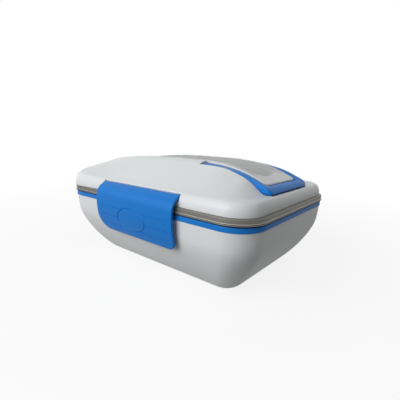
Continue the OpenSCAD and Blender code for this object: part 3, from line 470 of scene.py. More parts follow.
fuse_clay, tree, shader = material("fuse_clay", (0.72, 0.68, 0.58, 1.0), 0.55)
pores = span(tree, noise(tree, tree.nodes.new("ShaderNodeTexCoord").outputs["Object"], 2400.0, 3.0), 0.3, 0.7)
fired = tint(tree, pores, (0.60, 0.55, 0.45, 1.0), (0.78, 0.75, 0.66, 1.0))
tree.links.new(fired, shader.inputs["Base Color"])
tree.links.new(span(tree, pores, 0.0, 1.0, 0.75, 0.5), shader.inputs["Roughness"])
emboss(tree, shader, pores, 0.00008)
paint("thermal_fuse", fuse_clay)

glass_felt, tree, shader = material("glass_felt", (0.78, 0.77, 0.73, 1.0), 0.9, Sheen_Weight=0.3)
place = tree.nodes.new("ShaderNodeTexCoord").outputs["Object"]
lay = tree.nodes.new("ShaderNodeMapping")
lay.inputs["Scale"].default_value = (2600, 500, 1800)
lay.inputs["Rotation"].default_value = (0.2, 0.1, 0.7)
tree.links.new(place, lay.inputs["Vector"])
fibres = noise(tree, lay.outputs["Vector"], 1.0, 4.0, 0.65)
matted = tint(tree, fibres, (0.62, 0.60, 0.55, 1.0), (0.86, 0.85, 0.82, 1.0))
tree.links.new(matted, shader.inputs["Base Color"])
tree.links.new(span(tree, fibres, 0.2, 0.8, 0.95, 0.8), shader.inputs["Roughness"])
emboss(tree, shader, fibres, 0.0003)
paint("insulation_pad", glass_felt)


# Power inlet: a black nylon socket in the nose, with two brass pins, a small red lamp beside its mouth, and
# two silicone covered leads to the thermostat and the element.
inlet_nylon = moulded("inlet_nylon", (0.020, 0.021, 0.023, 1.0), (0.07, 0.07, 0.07, 1.0), 0.38, 0.2, 2200.0,
                      0.0001, 0.5, 0.5)
paint("power_inlet", inlet_nylon)
pin_brass = metal("pin_brass", (0.72, 0.56, 0.28, 1.0), (0.45, 0.33, 0.17, 1.0), 0.26, 0.2)
paint("inlet_pins", pin_brass)

red_lens, tree, shader = material("red_lens", (0.62, 0.03, 0.025, 1.0), 0.12, Transmission_Weight=0.55,
                                  IOR=1.49)
ribs = tree.nodes.new("ShaderNodeTexWave")
ribs.bands_direction = "Y"
ribs.inputs["Scale"].default_value = 420.0
tree.links.new(tree.nodes.new("ShaderNodeTexCoord").outputs["Object"], ribs.inputs["Vector"])
tree.links.new(tint(tree, ribs.outputs["Fac"], (0.45, 0.02, 0.02, 1.0), (0.75, 0.05, 0.04, 1.0)),
               shader.inputs["Base Color"])
tree.links.new(span(tree, ribs.outputs["Fac"], 0.0, 1.0, 0.08, 0.2), shader.inputs["Roughness"])
emboss(tree, shader, ribs.outputs["Fac"], 0.00008)
paint("indicator_lens", red_lens)

lead_skin = moulded("lead_skin", (0.60, 0.055, 0.045, 1.0), (0.42, 0.07, 0.05, 1.0), 0.45, 0.2, 3000.0,
                    0.00008, 0.3, 0.6)
paint("wiring", lead_skin)


# Food pan: one deep drawing of 0.9 mm stainless steel. Its flange rolls out over the blue band, stands 5.6 mm
# high under the lid's edge, and ends in two fine beads rolled one over the other.
rim_low = 70.0
rim_top = 75.6
pan_low = 23.0
pan_t = 0.9
pan_walk = plan_walk(np.linspace(-1, 1, 29)[1:-1], np.linspace(-1, 1, 21)[1:-1], 22)


def pan_at(z):
    """Inset of the pan's outer wall, straight from 15.3 mm at its mouth to 23.3 mm above its round foot."""
    return 15.3 + 8.0 * (rim_top - z) / (rim_top - pan_low - 4)


mouth = 14.4
rows = arc_rings(pan_walk, (28.3, pan_low + 4.0), (-5.0, -4.0), [90, 70, 50, 30, 12, 0])
rows += [rim_ring(pan_walk, pan_at(z), z) for z in np.linspace(31, 73.4, 9)]
rows += [rim_ring(pan_walk, mouth, rim_top - 1.0)]
rows += arc_rings(pan_walk, (3.0, rim_top - 2.6), (-1.6, 1.6), [90, 60, 30, 0])
rows += [rim_ring(pan_walk, 1.5, rim_low + 0.9), rim_ring(pan_walk, 1.5, rim_low + 0.2)]
rows += arc_rings(pan_walk, (0.75, rim_low + 0.6), (-0.75, 0.6), [-80, -50, -25, 0, 25, 50, 75])
rows += [rim_ring(pan_walk, 1.0, rim_low + 1.28)]
rows += arc_rings(pan_walk, (0.6, rim_low + 1.65), (-0.35, 0.35), [-75, -40, 0, 40, 75])
rows += [rim_ring(pan_walk, 0.75, rim_low + 2.05), rim_ring(pan_walk, 0.5, rim_low + 2.25)]
rows += arc_rings(pan_walk, (0.96, rim_top - 0.5), (-0.5, 0.5), [0, 18, 36, 54, 72, 90])
rows += [rim_ring(pan_walk, mouth, rim_top)]
rows += arc_rings(pan_walk, (mouth, rim_top - 1.8), (1.8, 1.8), [65, 40, 15])
rows += [rim_ring(pan_walk, pan_at(z) + pan_t, z) for z in np.linspace(73.4, 27.4, 10)]
rows += [rim_ring(pan_walk, 24.2 + 4.1 * np.sin(a), pan_low + pan_t + 3.5 * np.cos(a) ** 2)
         for a in np.radians([20, 40, 60, 75, 90])]
food_pan = skin("food_pan_pressing", stack(rows), sharp=40)

# Painted light on the rim, outside the pan's mouth: steel painted darker than the pan's own in place of the
# dark surroundings it reflects, a top ledge a little lighter, a thin painted highlight line on the beads and
# a painted shadow in the gap under them
pan_steel = metal("pan_steel", (0.46, 0.455, 0.435, 1.0), (0.36, 0.35, 0.33, 1.0), 0.42, 0.10, 0.000004, 0.35)
tree = pan_steel.node_tree
shader = tree.nodes["Principled BSDF"]
shader.inputs["Metallic"].default_value = 0.6
place = tree.nodes.new("ShaderNodeTexCoord").outputs["Object"]
parts = tree.nodes.new("ShaderNodeSeparateXYZ")
tree.links.new(place, parts.inputs[0])
past = []
for axis, straight in (("X", 0.094), ("Y", 0.062)):
    over = math_node(tree, "SUBTRACT", math_node(tree, "ABSOLUTE", parts.outputs[axis]), straight)
    past.append(math_node(tree, "POWER", math_node(tree, "MAXIMUM", over, 0.0), 2.0))
outer = span(tree, math_node(tree, "SQRT", math_node(tree, "ADD", past[0], past[1])), 0.0205, 0.0215)
# Painted shade and highlight: the rim's steel darker than the pan's, and its top ledge a little lighter
ledge = span(tree, parts.outputs["Z"], 0.0753, 0.0755)
rim_painted_light = tint(tree, ledge, (0.17, 0.165, 0.147, 1.0), (0.185, 0.18, 0.16, 1.0))
# Painted highlight: a thin bright line on the beads
bead_highlight_dist = math_node(tree, "ABSOLUTE", math_node(tree, "SUBTRACT", parts.outputs["Z"], 0.07195))
rim_painted_light = tint(tree, span(tree, bead_highlight_dist, 0.0002, 0.0001), rim_painted_light, (0.62, 0.60, 0.56, 1.0))
# Painted shadow: a dark band in the gap under the beads
gap_shadow_mask = span(tree, parts.outputs["Z"], 0.0704, 0.0707)
rim_painted_light = tint(tree, gap_shadow_mask, (0.012, 0.014, 0.03, 1.0), rim_painted_light)
inside = shader.inputs["Base Color"].links[0].from_socket
tree.links.new(tint(tree, outer, inside, rim_painted_light), shader.inputs["Base Color"])
dress(food_pan, "pan", "pan_steel", pan_steel, "food_pan")


# Side dish box and its cover: a pale blue translucent plastic box that stands in the right half of the pan,
# with a milky snap-on cover.
dish_plastic = moulded("dish_plastic", (0.42, 0.62, 0.78, 1.0), (0.50, 0.66, 0.78, 1.0), 0.30, 0.12, 1200.0,
                       0.00006, 0.5, 0.4, Transmission_Weight=0.25, IOR=1.49)
dish_cover = moulded("dish_cover", (0.80, 0.83, 0.84, 1.0), (0.66, 0.70, 0.72, 1.0), 0.28, 0.12, 1200.0,
                     0.00006, 0.5, 0.4, IOR=1.49)
paint("side_dish_box", dish_plastic)
paint("side_dish_lid", dish_cover)


# Lid: a glossy white moulding. A shoulder rolls up from its upright edge, an arched bridge runs along its
# middle with the spoon well in it, and a channel for the handle is sunk into the bridge's right half.
lid_hx = 116.0
lid_hy = 84.0
lid_r = 23.6
straight_x = lid_hx - lid_r
lid_crest = 110.2
pivot_x = 42.0
pivot_z = 105.082
arm_out = 39.6
bar_out = 110.6
well_low = 86.0
latch_y = 81.1
latch_z = 82.8


def soft_low(a, b, k):
    """Smooth minimum of two heights over a blend of k."""
    h = np.clip(0.5 + 0.5 * (b - a) / k, 0, 1)
    return b * (1 - h) + a * h - k * h * (1 - h)


def arch_at(x):
    """Crest of the bridge: it falls by 8.8 (x/108)^2.48 to the left, and to the right by 10 (x/85)^4.2 with a
    swell of 1.8 mm round x = 90 mm."""
    right_fall = 10 * np.abs(x / 85) ** 4.2 - 1.8 * np.exp(-(((x - 90) / 7) ** 2))
    return lid_crest - np.where(x < 0, 8.8 * np.abs(x / 108) ** 2.48, right_fall)


def deck_at(x):
    """Crest of the cover and the handle: the lid's own on the left, and on the right a fall of 10 (x/89)^3.8,
    held up at its end by a deck that falls 1 in 4."""
    level = lid_crest - 16.5 - 0.25 * np.maximum(x - 102, -20)
    fall = lid_crest - 10 * np.abs(x / 89) ** 3.8
    return np.where(x < 0, lid_z(x, 0 * x), -soft_low(-fall, -level, 4.0))


def lid_inside(x, y):
    """Distance of a point inside the lid's outline, a rounded rectangle 232 x 168 mm of radius 23.6 mm."""
    qx, qy = np.abs(x) - straight_x, np.abs(y) - (lid_hy - lid_r)
    beyond = np.hypot(np.maximum(qx, 0), np.maximum(qy, 0)) + np.minimum(np.maximum(qx, qy), 0)
    return np.maximum(0, lid_r - beyond)


def lid_z(x, y):
    """The lid's outer surface: the lower of a round shoulder and of a bridge that slopes from the crest at
    |y| = 39 mm to a ledge at 79 mm, each met by a smooth blend of 3 mm."""
    edge = 78.0
    low = edge + 8.5 + 3.3 * ease((-x - 40) / 60)
    t = np.clip((np.abs(y) - 39) / 40, 0, 1.2)
    bridge = arch_at(x) + (low - arch_at(x)) * t**0.92
    r = 12 + 12 * ease((-x - 55) / 50)
    w = lid_inside(x, y) / r
    round_part = np.sqrt(np.clip(1 - (1 - w) ** 2, 0, 1))
    shoulder = edge + r * np.where(w < 0.55, round_part, 0.893 + 0.504 * (w - 0.55))
    return soft_low(shoulder, -soft_low(-bridge, -(edge + 9.3), 3.0), 3.0)


# Columns round the lid: extra pairs at the ends of each latch trench and at the end of the handle's channel
step_x = 38.2
gap_half = 52.35
side_x = np.concatenate([np.linspace(-92, 92, 93), np.linspace(36.4, 40.4, 9)])
side_x = side_x[(np.abs(np.abs(side_x) - gap_half) > 0.3) & (np.abs(side_x - step_x) > 0.1)]
pairs = [-gap_half - 0.03, -gap_half + 0.03, gap_half - 0.03, gap_half + 0.03, step_x - 0.02, step_x + 0.02]
side_x = np.unique(np.round(np.concatenate([side_x, pairs]), 4))
side_y = np.linspace(-1, 1, 61)[1:-1]
lid_walk = plan_walk(side_x / straight_x, side_y, 16)
wx, wy, nx, ny = lid_walk
walk_x = wx * straight_x
long_side = (np.abs(ny) == 1) & (np.abs(nx) < 1e-9)


def lid_ring(u):
    """Ring at a true distance u inside the lid's outline."""
    return plan_ring(lid_walk, lid_hx - u, lid_hy - u, lid_r - u)


own_x = 70.0
far_share = np.maximum(np.abs(walk_x) - own_x, 0) / (straight_x - own_x)


def recess(left, right, half_left, half_right, r_left, r_right):
    """Outline of a recess in the bridge, column by column: the lid's own x out to 70 mm, then stretched to
    the recess's ends, with one half width left of the channel's end and another right of it."""
    rr = np.where(walk_x > step_x, r_right, r_left)
    half = np.where(walk_x > step_x, half_right, half_left)
    reach = np.where(wx > 0, right - r_right, left - r_left)
    x = np.sign(wx) * (np.minimum(np.abs(walk_x), own_x) + far_share * (reach - own_x)) + nx * rr
    y = np.where(long_side, np.sign(wy) * half, wy * (half - rr) + ny * rr)
    return x, y


def scoop(x, y, z):
    """Dips a height under the bar of the handle to a finger scoop, a cylinder of radius 13 mm along x."""
    floor = 97.2 - np.sqrt(np.clip(169 - np.minimum(np.abs(y), 12.9) ** 2, 0, None))
    return np.where((x > 106) & (np.abs(y) < 12.9), soft_low(z, floor, 0.6), z)


# Outer edge, plain or with a latch trench, then the surface up to the recess
in_gap = (np.abs(walk_x) < gap_half) & long_side
side = np.sign(wy)


def edge_row(u, z, gap_y, gap_z):
    """A row of the lid's edge: distance u and height z, but gap_y and gap_z where a latch hangs."""
    x, y = lid_ring(u)
    z = lid_z(x, y) if z is None else z
    return (x, np.where(in_gap, side * gap_y, y), np.where(in_gap, gap_z, z))


plain = [(0.25, 75.7), (0.06, 75.76), (0, 75.95), (0, 77.2), (0, 78.0)]
plain += [(u, None) for u in (0.12, 0.4, 0.8, 1.25, 1.75, 2.3, 2.85)]
arc = np.radians(np.linspace(270, 122, 7))
trench = [(83.75, 75.7), (83.94, 75.76), (84.0, 75.95), (84.0, 79.2), (83.6, 79.7)]
for a, r in zip(arc, np.linspace(3.1, 3.2, 7)):
    trench.append((latch_y + r * np.cos(a), latch_z + r * np.sin(a)))
top_y = 78.8
rows = [edge_row(u, z, gy, gz) for (u, z), (gy, gz) in zip(plain, trench)]
ledge = lid_z(walk_x, np.full_like(wx, top_y))
rows += [edge_row(3.4, None, 79.2, ledge - 0.55), edge_row(4.0, None, 79.08, ledge - 0.12)]
ring4 = lid_ring(4.6)
ring4 = (ring4[0], np.where(in_gap, side * top_y, ring4[1]))
rows += [(ring4[0], ring4[1], lid_z(*ring4))]

lip_out = recess(100.9, 111.2, 30.4, 40.5, 4.9, 5.4)
for t in np.linspace(0, 1, 30)[1:]:
    x = ring4[0] + (lip_out[0] - ring4[0]) * t
    y = ring4[1] + (lip_out[1] - ring4[1]) * t
    rows.append((x, y, scoop(x, y, lid_z(x, y))))

# Down into the channel and the cover's seat: rounded lip, wall, channel floor, ridge, seat and spoon well
lip_top = rows[-1][2]
seat_drop = 2.3
x, y = recess(100.55, 110.9, 30.05, 40.15, 4.55, 5.05)
rows.append((x, y, lip_top - 0.15))
x, y = recess(100.4, 110.8, 29.9, 40.0, 4.4, 4.9)
rows.append((x, y, lip_top - 0.5))
knots_x = [30, 38.6, 39.2, 40.4, 42.0, 48.0]
knots_z = [103.1, 103.1, 102.8, 101.9, 101.5, 103.0]


def channel_floor(x):
    """Floor of the handle's channel: a round bed under the pivot, then 6.3 mm below the deck."""
    slope = deck_at(x + 0.5) - deck_at(x - 0.5)
    return np.where(x < 48, np.interp(x, knots_x, knots_z), deck_at(x) - 6.3 * np.sqrt(1 + slope**2))


in_channel = walk_x > step_x
seat = deck_at(x) - seat_drop
bed = np.where(in_channel, scoop(x, y, channel_floor(x)), np.minimum(seat, lip_top - 0.6))
rows.append((x, y, bed))
x, y = recess(99.0, 102.1, 28.6, 28.6, 3.2, 3.0)
seat = deck_at(x) - seat_drop
rows.append((x, y, np.where(in_channel, channel_floor(np.minimum(x, 102.1)), seat - 0.01)))
rows.append((x, y, seat))
for inset, drop in ((0, 0.0), (0.3, 0.1), (0.4, 0.4)):
    x, y = recess(88.4 - inset, 92.4 - inset, 24.4 - inset, 24.4 - inset, 1.2, 1.2)
    rows.append((x, y, deck_at(x) - seat_drop - drop))
foot_r = 2.0
rows.append((x, y, well_low + foot_r))
for a in np.radians([30, 60, 90]):
    inset = foot_r * (1 - np.cos(a))
    x, y = recess(88 - inset, 92 - inset, 24 - inset, 24 - inset, 1.2, 1.2)
    rows.append((x, y, well_low + foot_r - foot_r * np.sin(a)))

# Under the edge and up inside, with the trench's wall stepped round
under = [edge_row(2.4, 81.2, 76.7, 81.2), edge_row(2.4, 79.5, 76.7, 78.4), edge_row(2.4, 78.4, 81.6, 78.4),
         edge_row(2.4, 75.95, 81.6, 75.95), edge_row(2.2, 75.75, 81.8, 75.75)]
grid = stack(under + rows)
near_edge = np.clip(1 - lid_inside(grid[..., 0], grid[..., 1]) / 14, 0, 1)
fuller = 3.0 * ease((-grid[..., 0] - 50) / 50) * near_edge**1.5
grid[..., 0] += nx * fuller
grid[..., 1] += ny * fuller
lid_shell = skin("lid_moulding", grid, sharp=30)
dress(lid_shell, "lid", "white_shell", white_plastic, "lid_shell")


# Lid's underside: a white inner panel screwed up into the lid by six screws, a soft silicone seal that lies
# on the steel rim, and a silicone vent plug.
liner_white = moulded("liner_white", (0.78, 0.79, 0.78, 1.0), (0.62, 0.62, 0.58, 1.0), 0.34, 0.14, 1400.0,
                      0.00006, 0.4, 0.5)
paint("lid_liner", liner_white)
seal_silicone = moulded("seal_silicone", (0.52, 0.54, 0.54, 1.0), (0.40, 0.41, 0.40, 1.0), 0.50, 0.16, 2000.0,
                        0.00008, 0.3, 0.7, Subsurface_Weight=0.08)
paint("lid_seal", seal_silicone)
paint("vent_plug", seal_silicone)
paint("lid_screws", screw_steel)


# Spoon cover: a smoke-grey lid over the spoon well, 1.8 mm thick. It follows the crest, and a long smooth
# trough with round ends is dished into it.
cover_walk = plan_walk(np.linspace(-1, 1, 92)[1:-1], np.linspace(-1, 1, 34)[1:-1], 10)


def cover_ring(share, inset=0.0):
    """Ring at a share of the way in: 0 is the cover's edge, 1 the trough's lip and 2 the trough's middle
    line, with half lengths, half widths, corner radii and middles in step."""
    sizes = ((101, 89.25, 66.75), (29.5, 22.5, 0), (4, 14, 0), (1, 3.25, 3.25))
    half_x, half_y, r, mid = (np.interp(share, [0, 1, 2], size) for size in sizes)
    x, y = plan_ring(cover_walk, half_x - inset, half_y - inset, r - inset)
    return x + mid, y


def cover_row(share, drop, inset=0.0):
    """Row of the cover at a drop under the crest, with the trough's depth where the share is over 1: a round
    lip, a steep wall and a soft bed, 6.3 (1 - (1 - 1.25t)^2.4)."""
    t = max(share - 1, 0)
    x, y = cover_ring(share, inset)
    return (x, y, deck_at(x) - drop - 6.3 * (1 - (1 - min(t * 1.25, 1)) ** 2.4) * ease(t * 5))


rows = [cover_row(share, 2.0) for share in np.concatenate([np.linspace(2, 1, 13), [0.7, 0.35]])]
rows += [cover_row(0, 1.7 + 0.3 * np.cos(a), 0.3 * (1 - np.sin(a))) for a in np.radians([0, 45, 90])]
rows += [cover_row(0, 0.8 - 0.6 * np.sin(a), 0.6 * (1 - np.cos(a))) for a in np.radians([0, 30, 60, 90])]
rows += [cover_row(share, 0.2) for share in (0.2, 0.6, 0.85)]
rows += [cover_row(1 + t, 0.2) for t in np.concatenate([np.linspace(0, 0.3, 10), np.linspace(0.35, 1, 14)])]
spoon_cover = skin("spoon_cover_moulding", stack(rows), caps=False)

# Smoke grey, with painted light that pales it towards its right end and a painted highlight line along each
# long edge
cover_plastic = moulded("cover_plastic", (0.42, 0.43, 0.425, 1.0), (0.35, 0.36, 0.355, 1.0), 0.28, 0.10,
                        1000.0, 0.00005, 0.4, 0.4, IOR=1.42, Coat_Weight=0.1)
tree = cover_plastic.node_tree
shader = tree.nodes["Principled BSDF"]
parts = tree.nodes.new("ShaderNodeSeparateXYZ")
tree.links.new(tree.nodes.new("ShaderNodeTexCoord").outputs["Object"], parts.inputs[0])
# Painted highlight: a light line along each long edge
edge_highlight_mask = span(tree, math_node(tree, "ABSOLUTE", parts.outputs["Y"]), 0.0288, 0.0292)
smoke_and_painted_light = shader.inputs["Base Color"].links[0].from_socket
# Painted light: the cover pales towards its right end, from x = 84 to 93 mm
smoke_and_painted_light = tint(tree, span(tree, parts.outputs["X"], 0.084, 0.093), smoke_and_painted_light, (0.66, 0.67, 0.67, 1.0))
tree.links.new(tint(tree, edge_highlight_mask, smoke_and_painted_light, (0.74, 0.76, 0.76, 1.0)), shader.inputs["Base Color"])
dress(spoon_cover, "spoon_lid", "cover_grey", cover_plastic, "spoon_cover")


# Spoon: a short stainless spoon stamped from 1.2 mm sheet, with an oval bowl, and a waisted stem with a
# round end.
spoon_low = 86.3
stops = np.array([0, 1.5, 5, 11, 18, 25, 32, 40, 45, 48, 51, 56, 66, 80, 100, 120, 135, 142, 146.5, 149, 150])
widths = np.array([0.2, 6.5, 11.0, 15.2, 17.6, 18.0, 16.6, 12.0, 7.6, 5.4, 4.6, 4.0, 3.6, 3.4, 3.7, 4.7, 5.9,
                   6.2, 5.4, 3.2, 0.2])
along = np.concatenate([np.linspace(0, 4, 12), np.linspace(5, 145, 90), np.linspace(146, 150, 12)])
half = np.interp(along, stops, widths)
half = np.convolve(np.pad(half, 2, "edge"), [0.1, 0.2, 0.4, 0.2, 0.1], "valid")
half[0], half[-1] = 0.15, 0.15
across = np.linspace(-1, 1, 25)


def spoon_face(lift):
    """Sheet of the spoon: the bowl is 6 mm deep, a paraboloid over its oval, and the stem is crowned."""
    a, s = np.meshgrid(along, across, indexing="ij")
    y = s * half[:, None]
    bowl = np.clip(((a - 25) / 25) ** 2 + (y / 18) ** 2, 0, 1)
    z = spoon_low + np.where(a < 50, 6.0 * bowl, 6.0) + lift
    z = z - np.where(a > 56, 0.5 * s**2 * ease((a - 56) / 20), 0)
    return np.stack([a - 75, y, z], -1)


top_face, low_face = spoon_face(1.2), spoon_face(0.0)
top_face[..., 2] -= 0.25 * (np.abs(across) > 0.97)
loop = np.concatenate([low_face, top_face[:, ::-1]], axis=1)
spoon = skin("spoon_pressing", loop, sharp=50)
spoon_steel = metal("spoon_steel", (0.60, 0.60, 0.585, 1.0), (0.48, 0.47, 0.45, 1.0), 0.18, 0.12, 0.00001,
                    0.5)
dress(spoon, "spoon", "plain_steel", spoon_steel, "spoon")


# Carry handle: a blue U whose arms follow the crest and whose bar lies across the deck's end. Each arm turns
# on a steel pin in the bridge.
arm_depth = 5.9
eye_r = 2.7
chain_x = np.linspace(48, 106.6, 60)
tilt = deck_at(chain_x + 0.5) - deck_at(chain_x - 0.5)
norm = np.sqrt(1 + tilt**2)
proud = -1.9 + 2.7 * ease((chain_x - 60) / 37)
upper_x = chain_x - proud * tilt / norm
upper_z = deck_at(chain_x) + proud / norm
lower_x = chain_x + arm_depth * tilt / norm
lower_z = deck_at(chain_x) - arm_depth / norm
eye = np.radians(np.linspace(180, 86, 14))
low_turn = np.radians(np.linspace(-90, 0, 8))
top_turn = np.radians(np.linspace(72, 0, 10))
bar_z = float(deck_at(106.6))
kept = upper_x < 103.4
bar_top_x = 103.6 + 7 * np.cos(top_turn) ** 1.4
bar_top_z = bar_z - 4.1 + 5.9 * np.sin(top_turn) ** 1.4
upper_x = np.concatenate([pivot_x + eye_r * np.cos(eye), upper_x[kept], bar_top_x])
upper_z = np.concatenate([pivot_z + eye_r * np.sin(eye), upper_z[kept], bar_top_z])
lower_x = np.concatenate([pivot_x + eye_r * np.cos(eye), lower_x, 109.0 + 1.6 * np.cos(low_turn)])
lower_z = np.concatenate([pivot_z - eye_r * np.sin(eye), lower_z, bar_z - 4.3 + 1.6 * np.sin(low_turn)])
upper_x, lower_x = np.maximum.accumulate(upper_x), np.maximum.accumulate(lower_x)


def plan_u(arm_end, arm_y, corner_x, corner_y, corner_r, bar_x, bar_half):
    """Plan curve of the U, always with the same columns: eye, arm, corner, bar, and the same mirrored."""
    eye_x = 39.32 + eye_r * (1 - np.cos(np.linspace(0, np.pi / 2, 12)))
    arm_x = np.concatenate([eye_x, np.linspace(42.6, arm_end, 64)])
    turn = np.radians(np.linspace(-90, 0, 20))
    x = np.concatenate([arm_x, corner_x + corner_r * np.cos(turn)])
    y = np.concatenate([np.full(len(arm_x), arm_y), corner_y + corner_r * np.sin(turn)])
    bar_y = np.linspace(-bar_half, bar_half, 60)[1:-1]
    return np.concatenate([x, np.full(58, bar_x), x[::-1]]), np.concatenate([y, bar_y, -y[::-1]])


inner_x, inner_y = plan_u(98.0, -30.2, 99.5, -27.2, 3, 102.5, 27)
outer_x, outer_y = plan_u(105.5, -arm_out, 106.1, -35.1, 4.5, bar_out, 34.5)

loop = np.linspace(0, 2 * np.pi, 40, endpoint=False)
share_a = 0.5 + 0.5 * np.sign(np.cos(loop)) * np.abs(np.cos(loop)) ** 0.36
share_b = 0.5 + 0.5 * np.sign(np.sin(loop)) * np.abs(np.sin(loop)) ** 0.42
x = inner_x[:, None] + (outer_x - inner_x)[:, None] * share_a
y = inner_y[:, None] + (outer_y - inner_y)[:, None] * share_a
z_high = np.interp(x, upper_x, upper_z) - 1.7 * (1 - share_a) * ease((x - 70) / 20)
z_low = np.interp(x, lower_x, lower_z)
z = z_low + (z_high - z_low) * share_b
carry_handle = skin("carry_handle_moulding", np.stack([x, y, z], -1), sharp=50)
bore = round_bar("bore", (pivot_x, -45, pivot_z), (pivot_x, 45, pivot_z), 1.55, steps=32)
carve(carry_handle, [bore], sharp=50)
dress(carry_handle, "handle", "blue_trim", blue_plastic, "carry_handle")
paint("handle_pins", screw_steel)


# Latches: a bowed blue plate 104 mm wide on each long side, hung from a steel pin in the lid's trench. Its
# lower half has three fine grooves that stop at an oval ring, and a hook inside, just clear of the catch rib.
latch_low = latch_z - 44.6
bulge_z = latch_z - 14.4
latch_half = 52.0
pin_roll = 2.3
end_r = 0.6


def bow(z):
    """Outer face of the latch, out from its pin: a belly of 10.9 mm that rolls in over the top until it
    touches the pin's roll of radius 2.3 mm at 64 degrees, and draws in by 6 mm to its free edge."""
    up = np.clip((z - bulge_z) / (latch_z + 2.07 - bulge_z), 0, None)
    down = np.clip((bulge_z - z) / (bulge_z - latch_low), 0, None)
    return np.where(z > bulge_z, 10.9 - 9.9 * up**3.3, 10.9 - 6 * down**2)


def engraving(x, z):
    """Depth of the latch's lines: three level grooves 0.5 mm wide that stop at an oval ring, cut softly."""
    ring = np.hypot(x / 19.0, (z - latch_low - 17) / 11.0)
    oval = np.clip(1 - np.abs(ring - 0.98) / 0.036, 0, 1)
    cut = np.zeros_like(x)
    for level in (7.5, 16.0, 25.2):
        groove = np.clip(1 - np.abs(z - latch_low - level - 0.25) / 0.5, 0, 1)
        ends = ease((latch_half - 4 - np.abs(x)) / 1.5)
        cut = np.maximum(cut, groove * ends * ease((ring - 1.03) / 0.03))
    return 0.6 * ease(np.maximum(cut, oval) * 1.4)


def latch_piece(name, side):
    """The latch as a loop of outer and inner heights carried along x. Both ends are rounded over by 0.6 mm
    and closed on their middle line, and the lower corners are arcs of 16 and 8 mm."""
    z = [[0], 0.5 * (1 - np.cos(np.radians([40, 65, 90]))), np.arange(0.75, 30, 0.26)]
    z = np.concatenate(z) + latch_low
    z = np.concatenate([z, np.linspace(latch_low + 30.3, latch_z + 2.06, 38)])
    face = bow(z)
    roll_back = -np.sqrt(np.clip(pin_roll**2 - (latch_z - z) ** 2, 0, None))
    thin = 2.8 - 0.9 * np.clip((bulge_z - z) / (bulge_z - latch_low), 0, None)
    back = np.where(z > latch_z - 2.1, roll_back, face - thin)
    lip = 0.5 * (1 - np.sqrt(1 - (1 - np.clip((z - latch_low) / 0.5, 0, 1)) ** 2))
    middle, half = (face + back) / 2, (face - back) / 2 - lip
    xs = np.unique(np.concatenate([np.linspace(-1, 1, 60), np.arange(-21, 21, 0.3) / latch_half]))
    turn = np.radians([90, 90, 60, 30])
    draw = end_r * (1 - np.cos(turn)) + [9, 0, 0, 0]
    share = np.concatenate([-np.ones(4), xs, np.ones(4)])[:, None]
    pull = np.concatenate([draw, 0 * xs, draw[::-1]])[:, None]
    reach = end_r * np.concatenate([np.sin(turn), 0 * xs, np.sin(turn[::-1])])[:, None]
    corner = np.where(share * side > 0, 16.0, 8.0)
    wide = latch_half - corner + np.sqrt(corner**2 - np.clip(corner - (z - latch_low), 0, None) ** 2)
    x = share * (wide - end_r) + np.sign(share) * reach
    thick = np.maximum(half - pull, 0)
    outer = middle + thick - np.where(pull > 0, 0, engraving(x, z + 0 * x))
    inner = middle - thick
    roll = np.radians(np.linspace(70, 110, 6))
    left = np.clip(1 - pull, 0, None)
    roll_z = z[-1] + left * (latch_z + pin_roll * np.sin(roll) - z[-1])
    loop_x = np.concatenate([x, np.repeat(x[:, -1:], 6, axis=1), x[:, ::-1]], axis=1)
    loop_y = np.concatenate([outer, pin_roll * left * np.cos(roll), inner[:, ::-1]], axis=1)
    loop_z = np.concatenate([z + 0 * x, roll_z, z[::-1] + 0 * x], axis=1)
    latch = skin(name, np.stack([loop_x, side * (latch_y + loop_y), loop_z], -1), caps=False, sharp=38)
    hook = [(6.7, 64.95), (6.7, 63.75), (7.1, 63.3), (8.9, 61.95), (8.9, 64.95)]
    ends = [[(x, side * (latch_y + y), z) for y, z in hook] for x in (-28, 28)]
    return carve(latch, [skin("hook", np.array(ends))], "UNION", sharp=38)


for side_name, side in (("front", -1), ("rear", 1)):
    latch = latch_piece("latch_" + side_name + "_moulding", side)
    dress(latch, side_name + "_latch", "blue_trim", blue_plastic, "latch_" + side_name)
    paint("latch_pin_" + side_name, screw_steel)


# Studio: a plain pale table, a broad lamp at the front left, a weak one above the right, the bright room, and
# the photograph's camera.
floor_mesh = bpy.data.meshes.new("table_top")
floor_mesh.from_pydata([(-6, -6, 0), (6, -6, 0), (6, 6, 0), (-6, 6, 0)], [], [(0, 1, 2, 3)])
floor = bpy.data.objects.new("table_top", floor_mesh)
bpy.context.scene.collection.objects.link(floor)


def seen_rays(tree):
    """Light path outputs, and a value of 1 for camera, glossy and transmission rays and 0 for others."""
    rays = tree.nodes.new("ShaderNodeLightPath").outputs
    shown = math_node(tree, "MAXIMUM", rays["Is Camera Ray"], rays["Is Glossy Ray"])
    return rays, math_node(tree, "MAXIMUM", shown, rays["Is Transmission Ray"])


# The table is pale where it is seen and darker to other rays. To the camera it is mostly its own white light,
# 86 percent near the object, so that the shadow stays, and all of it from 0.55 m out. Reflections get 45
# percent of that.
table_pale, tree, shader = material("table_pale", (0.18, 0.18, 0.18, 1.0), 0.9)
white = tree.nodes.new("ShaderNodeEmission")
blend = tree.nodes.new("ShaderNodeMixShader")
rays, shown = seen_rays(tree)
pale = tint(tree, shown, (0.18, 0.18, 0.18, 1.0), (0.90, 0.90, 0.90, 1.0))
tree.links.new(pale, shader.inputs["Base Color"])
away = tree.nodes.new("ShaderNodeVectorMath")
away.operation = "LENGTH"
tree.links.new(tree.nodes.new("ShaderNodeTexCoord").outputs["Object"], away.inputs[0])
bright = span(tree, away.outputs["Value"], 0.15, 0.55, 0.86, 1.0)
glow = math_node(tree, "MULTIPLY", rays["Is Glossy Ray"], 0.45)
glow = math_node(tree, "MAXIMUM", rays["Is Camera Ray"], glow)
tree.links.new(math_node(tree, "MULTIPLY", glow, bright), blend.inputs["Fac"])
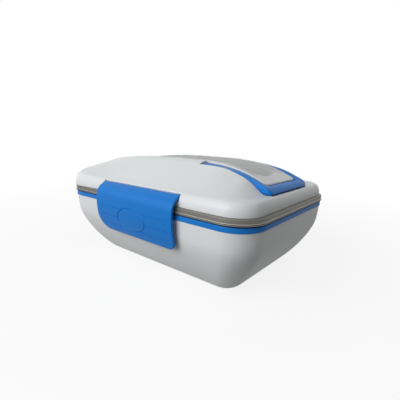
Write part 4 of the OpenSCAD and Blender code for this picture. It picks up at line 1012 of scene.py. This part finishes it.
tree.links.new(shader.outputs["BSDF"], blend.inputs[1])
tree.links.new(white.outputs["Emission"], blend.inputs[2])
tree.links.new(blend.outputs["Shader"], tree.nodes["Material Output"].inputs["Surface"])
floor.data.materials.append(table_pale)

world = bpy.data.worlds.new("room")
bpy.context.scene.world = world
world.use_nodes = True
tree = world.node_tree
sky = tree.nodes["Background"]
sky.inputs["Color"].default_value = (1, 1, 1, 1)
rays, shown = seen_rays(tree)
tree.links.new(span(tree, shown, 0.0, 1.0, 0.185, 1.0), sky.inputs["Strength"])


def lamp(name, power, size, spot, aim):
    """A square lamp of a size in metres, turned from its spot towards an aim."""
    light = bpy.data.lights.new(name, "AREA")
    light.energy = power
    light.size = size
    piece = bpy.data.objects.new(name, light)
    piece.location = spot
    piece.rotation_euler = (Vector(aim) - Vector(spot)).to_track_quat("-Z", "Y").to_euler()
    bpy.context.scene.collection.objects.link(piece)


lamp("key", 18.2, 1.1, (-0.33, -1.32, 0.74), (0, 0, 0.06))
lamp("fill", 2.6, 0.9, (0.75, -0.35, 1.45), (0, 0, 0.06))

# Camera, solved on the photo's outline: turned, raised and rolled by these angles
turned, raised, roll = np.radians([39.327, 10.373, 1.655])
back = np.array([np.sin(turned) * np.cos(raised), -np.cos(turned) * np.cos(raised), np.sin(raised)])
right = np.array([np.cos(turned), np.sin(turned), 0.0])
up = np.cross(back, right)
across = right * np.cos(roll) + up * np.sin(roll)
upward = -right * np.sin(roll) + up * np.cos(roll)
camera_data = bpy.data.cameras.new("camera")
camera_data.lens = 26.9926
camera_data.sensor_width = 36.0
camera_data.shift_x = 0.01369
camera_data.shift_y = -0.01865
camera_data.clip_start = 0.01
camera = bpy.data.objects.new("camera", camera_data)
camera.matrix_world = Matrix([
    [across[0], upward[0], back[0], 0.21125],
    [across[1], upward[1], back[1], -0.25785],
    [across[2], upward[2], back[2], 0.13102],
    [0, 0, 0, 1],
])
bpy.context.scene.collection.objects.link(camera)
bpy.context.scene.camera = camera
bpy.context.scene.view_settings.view_transform = "Standard"
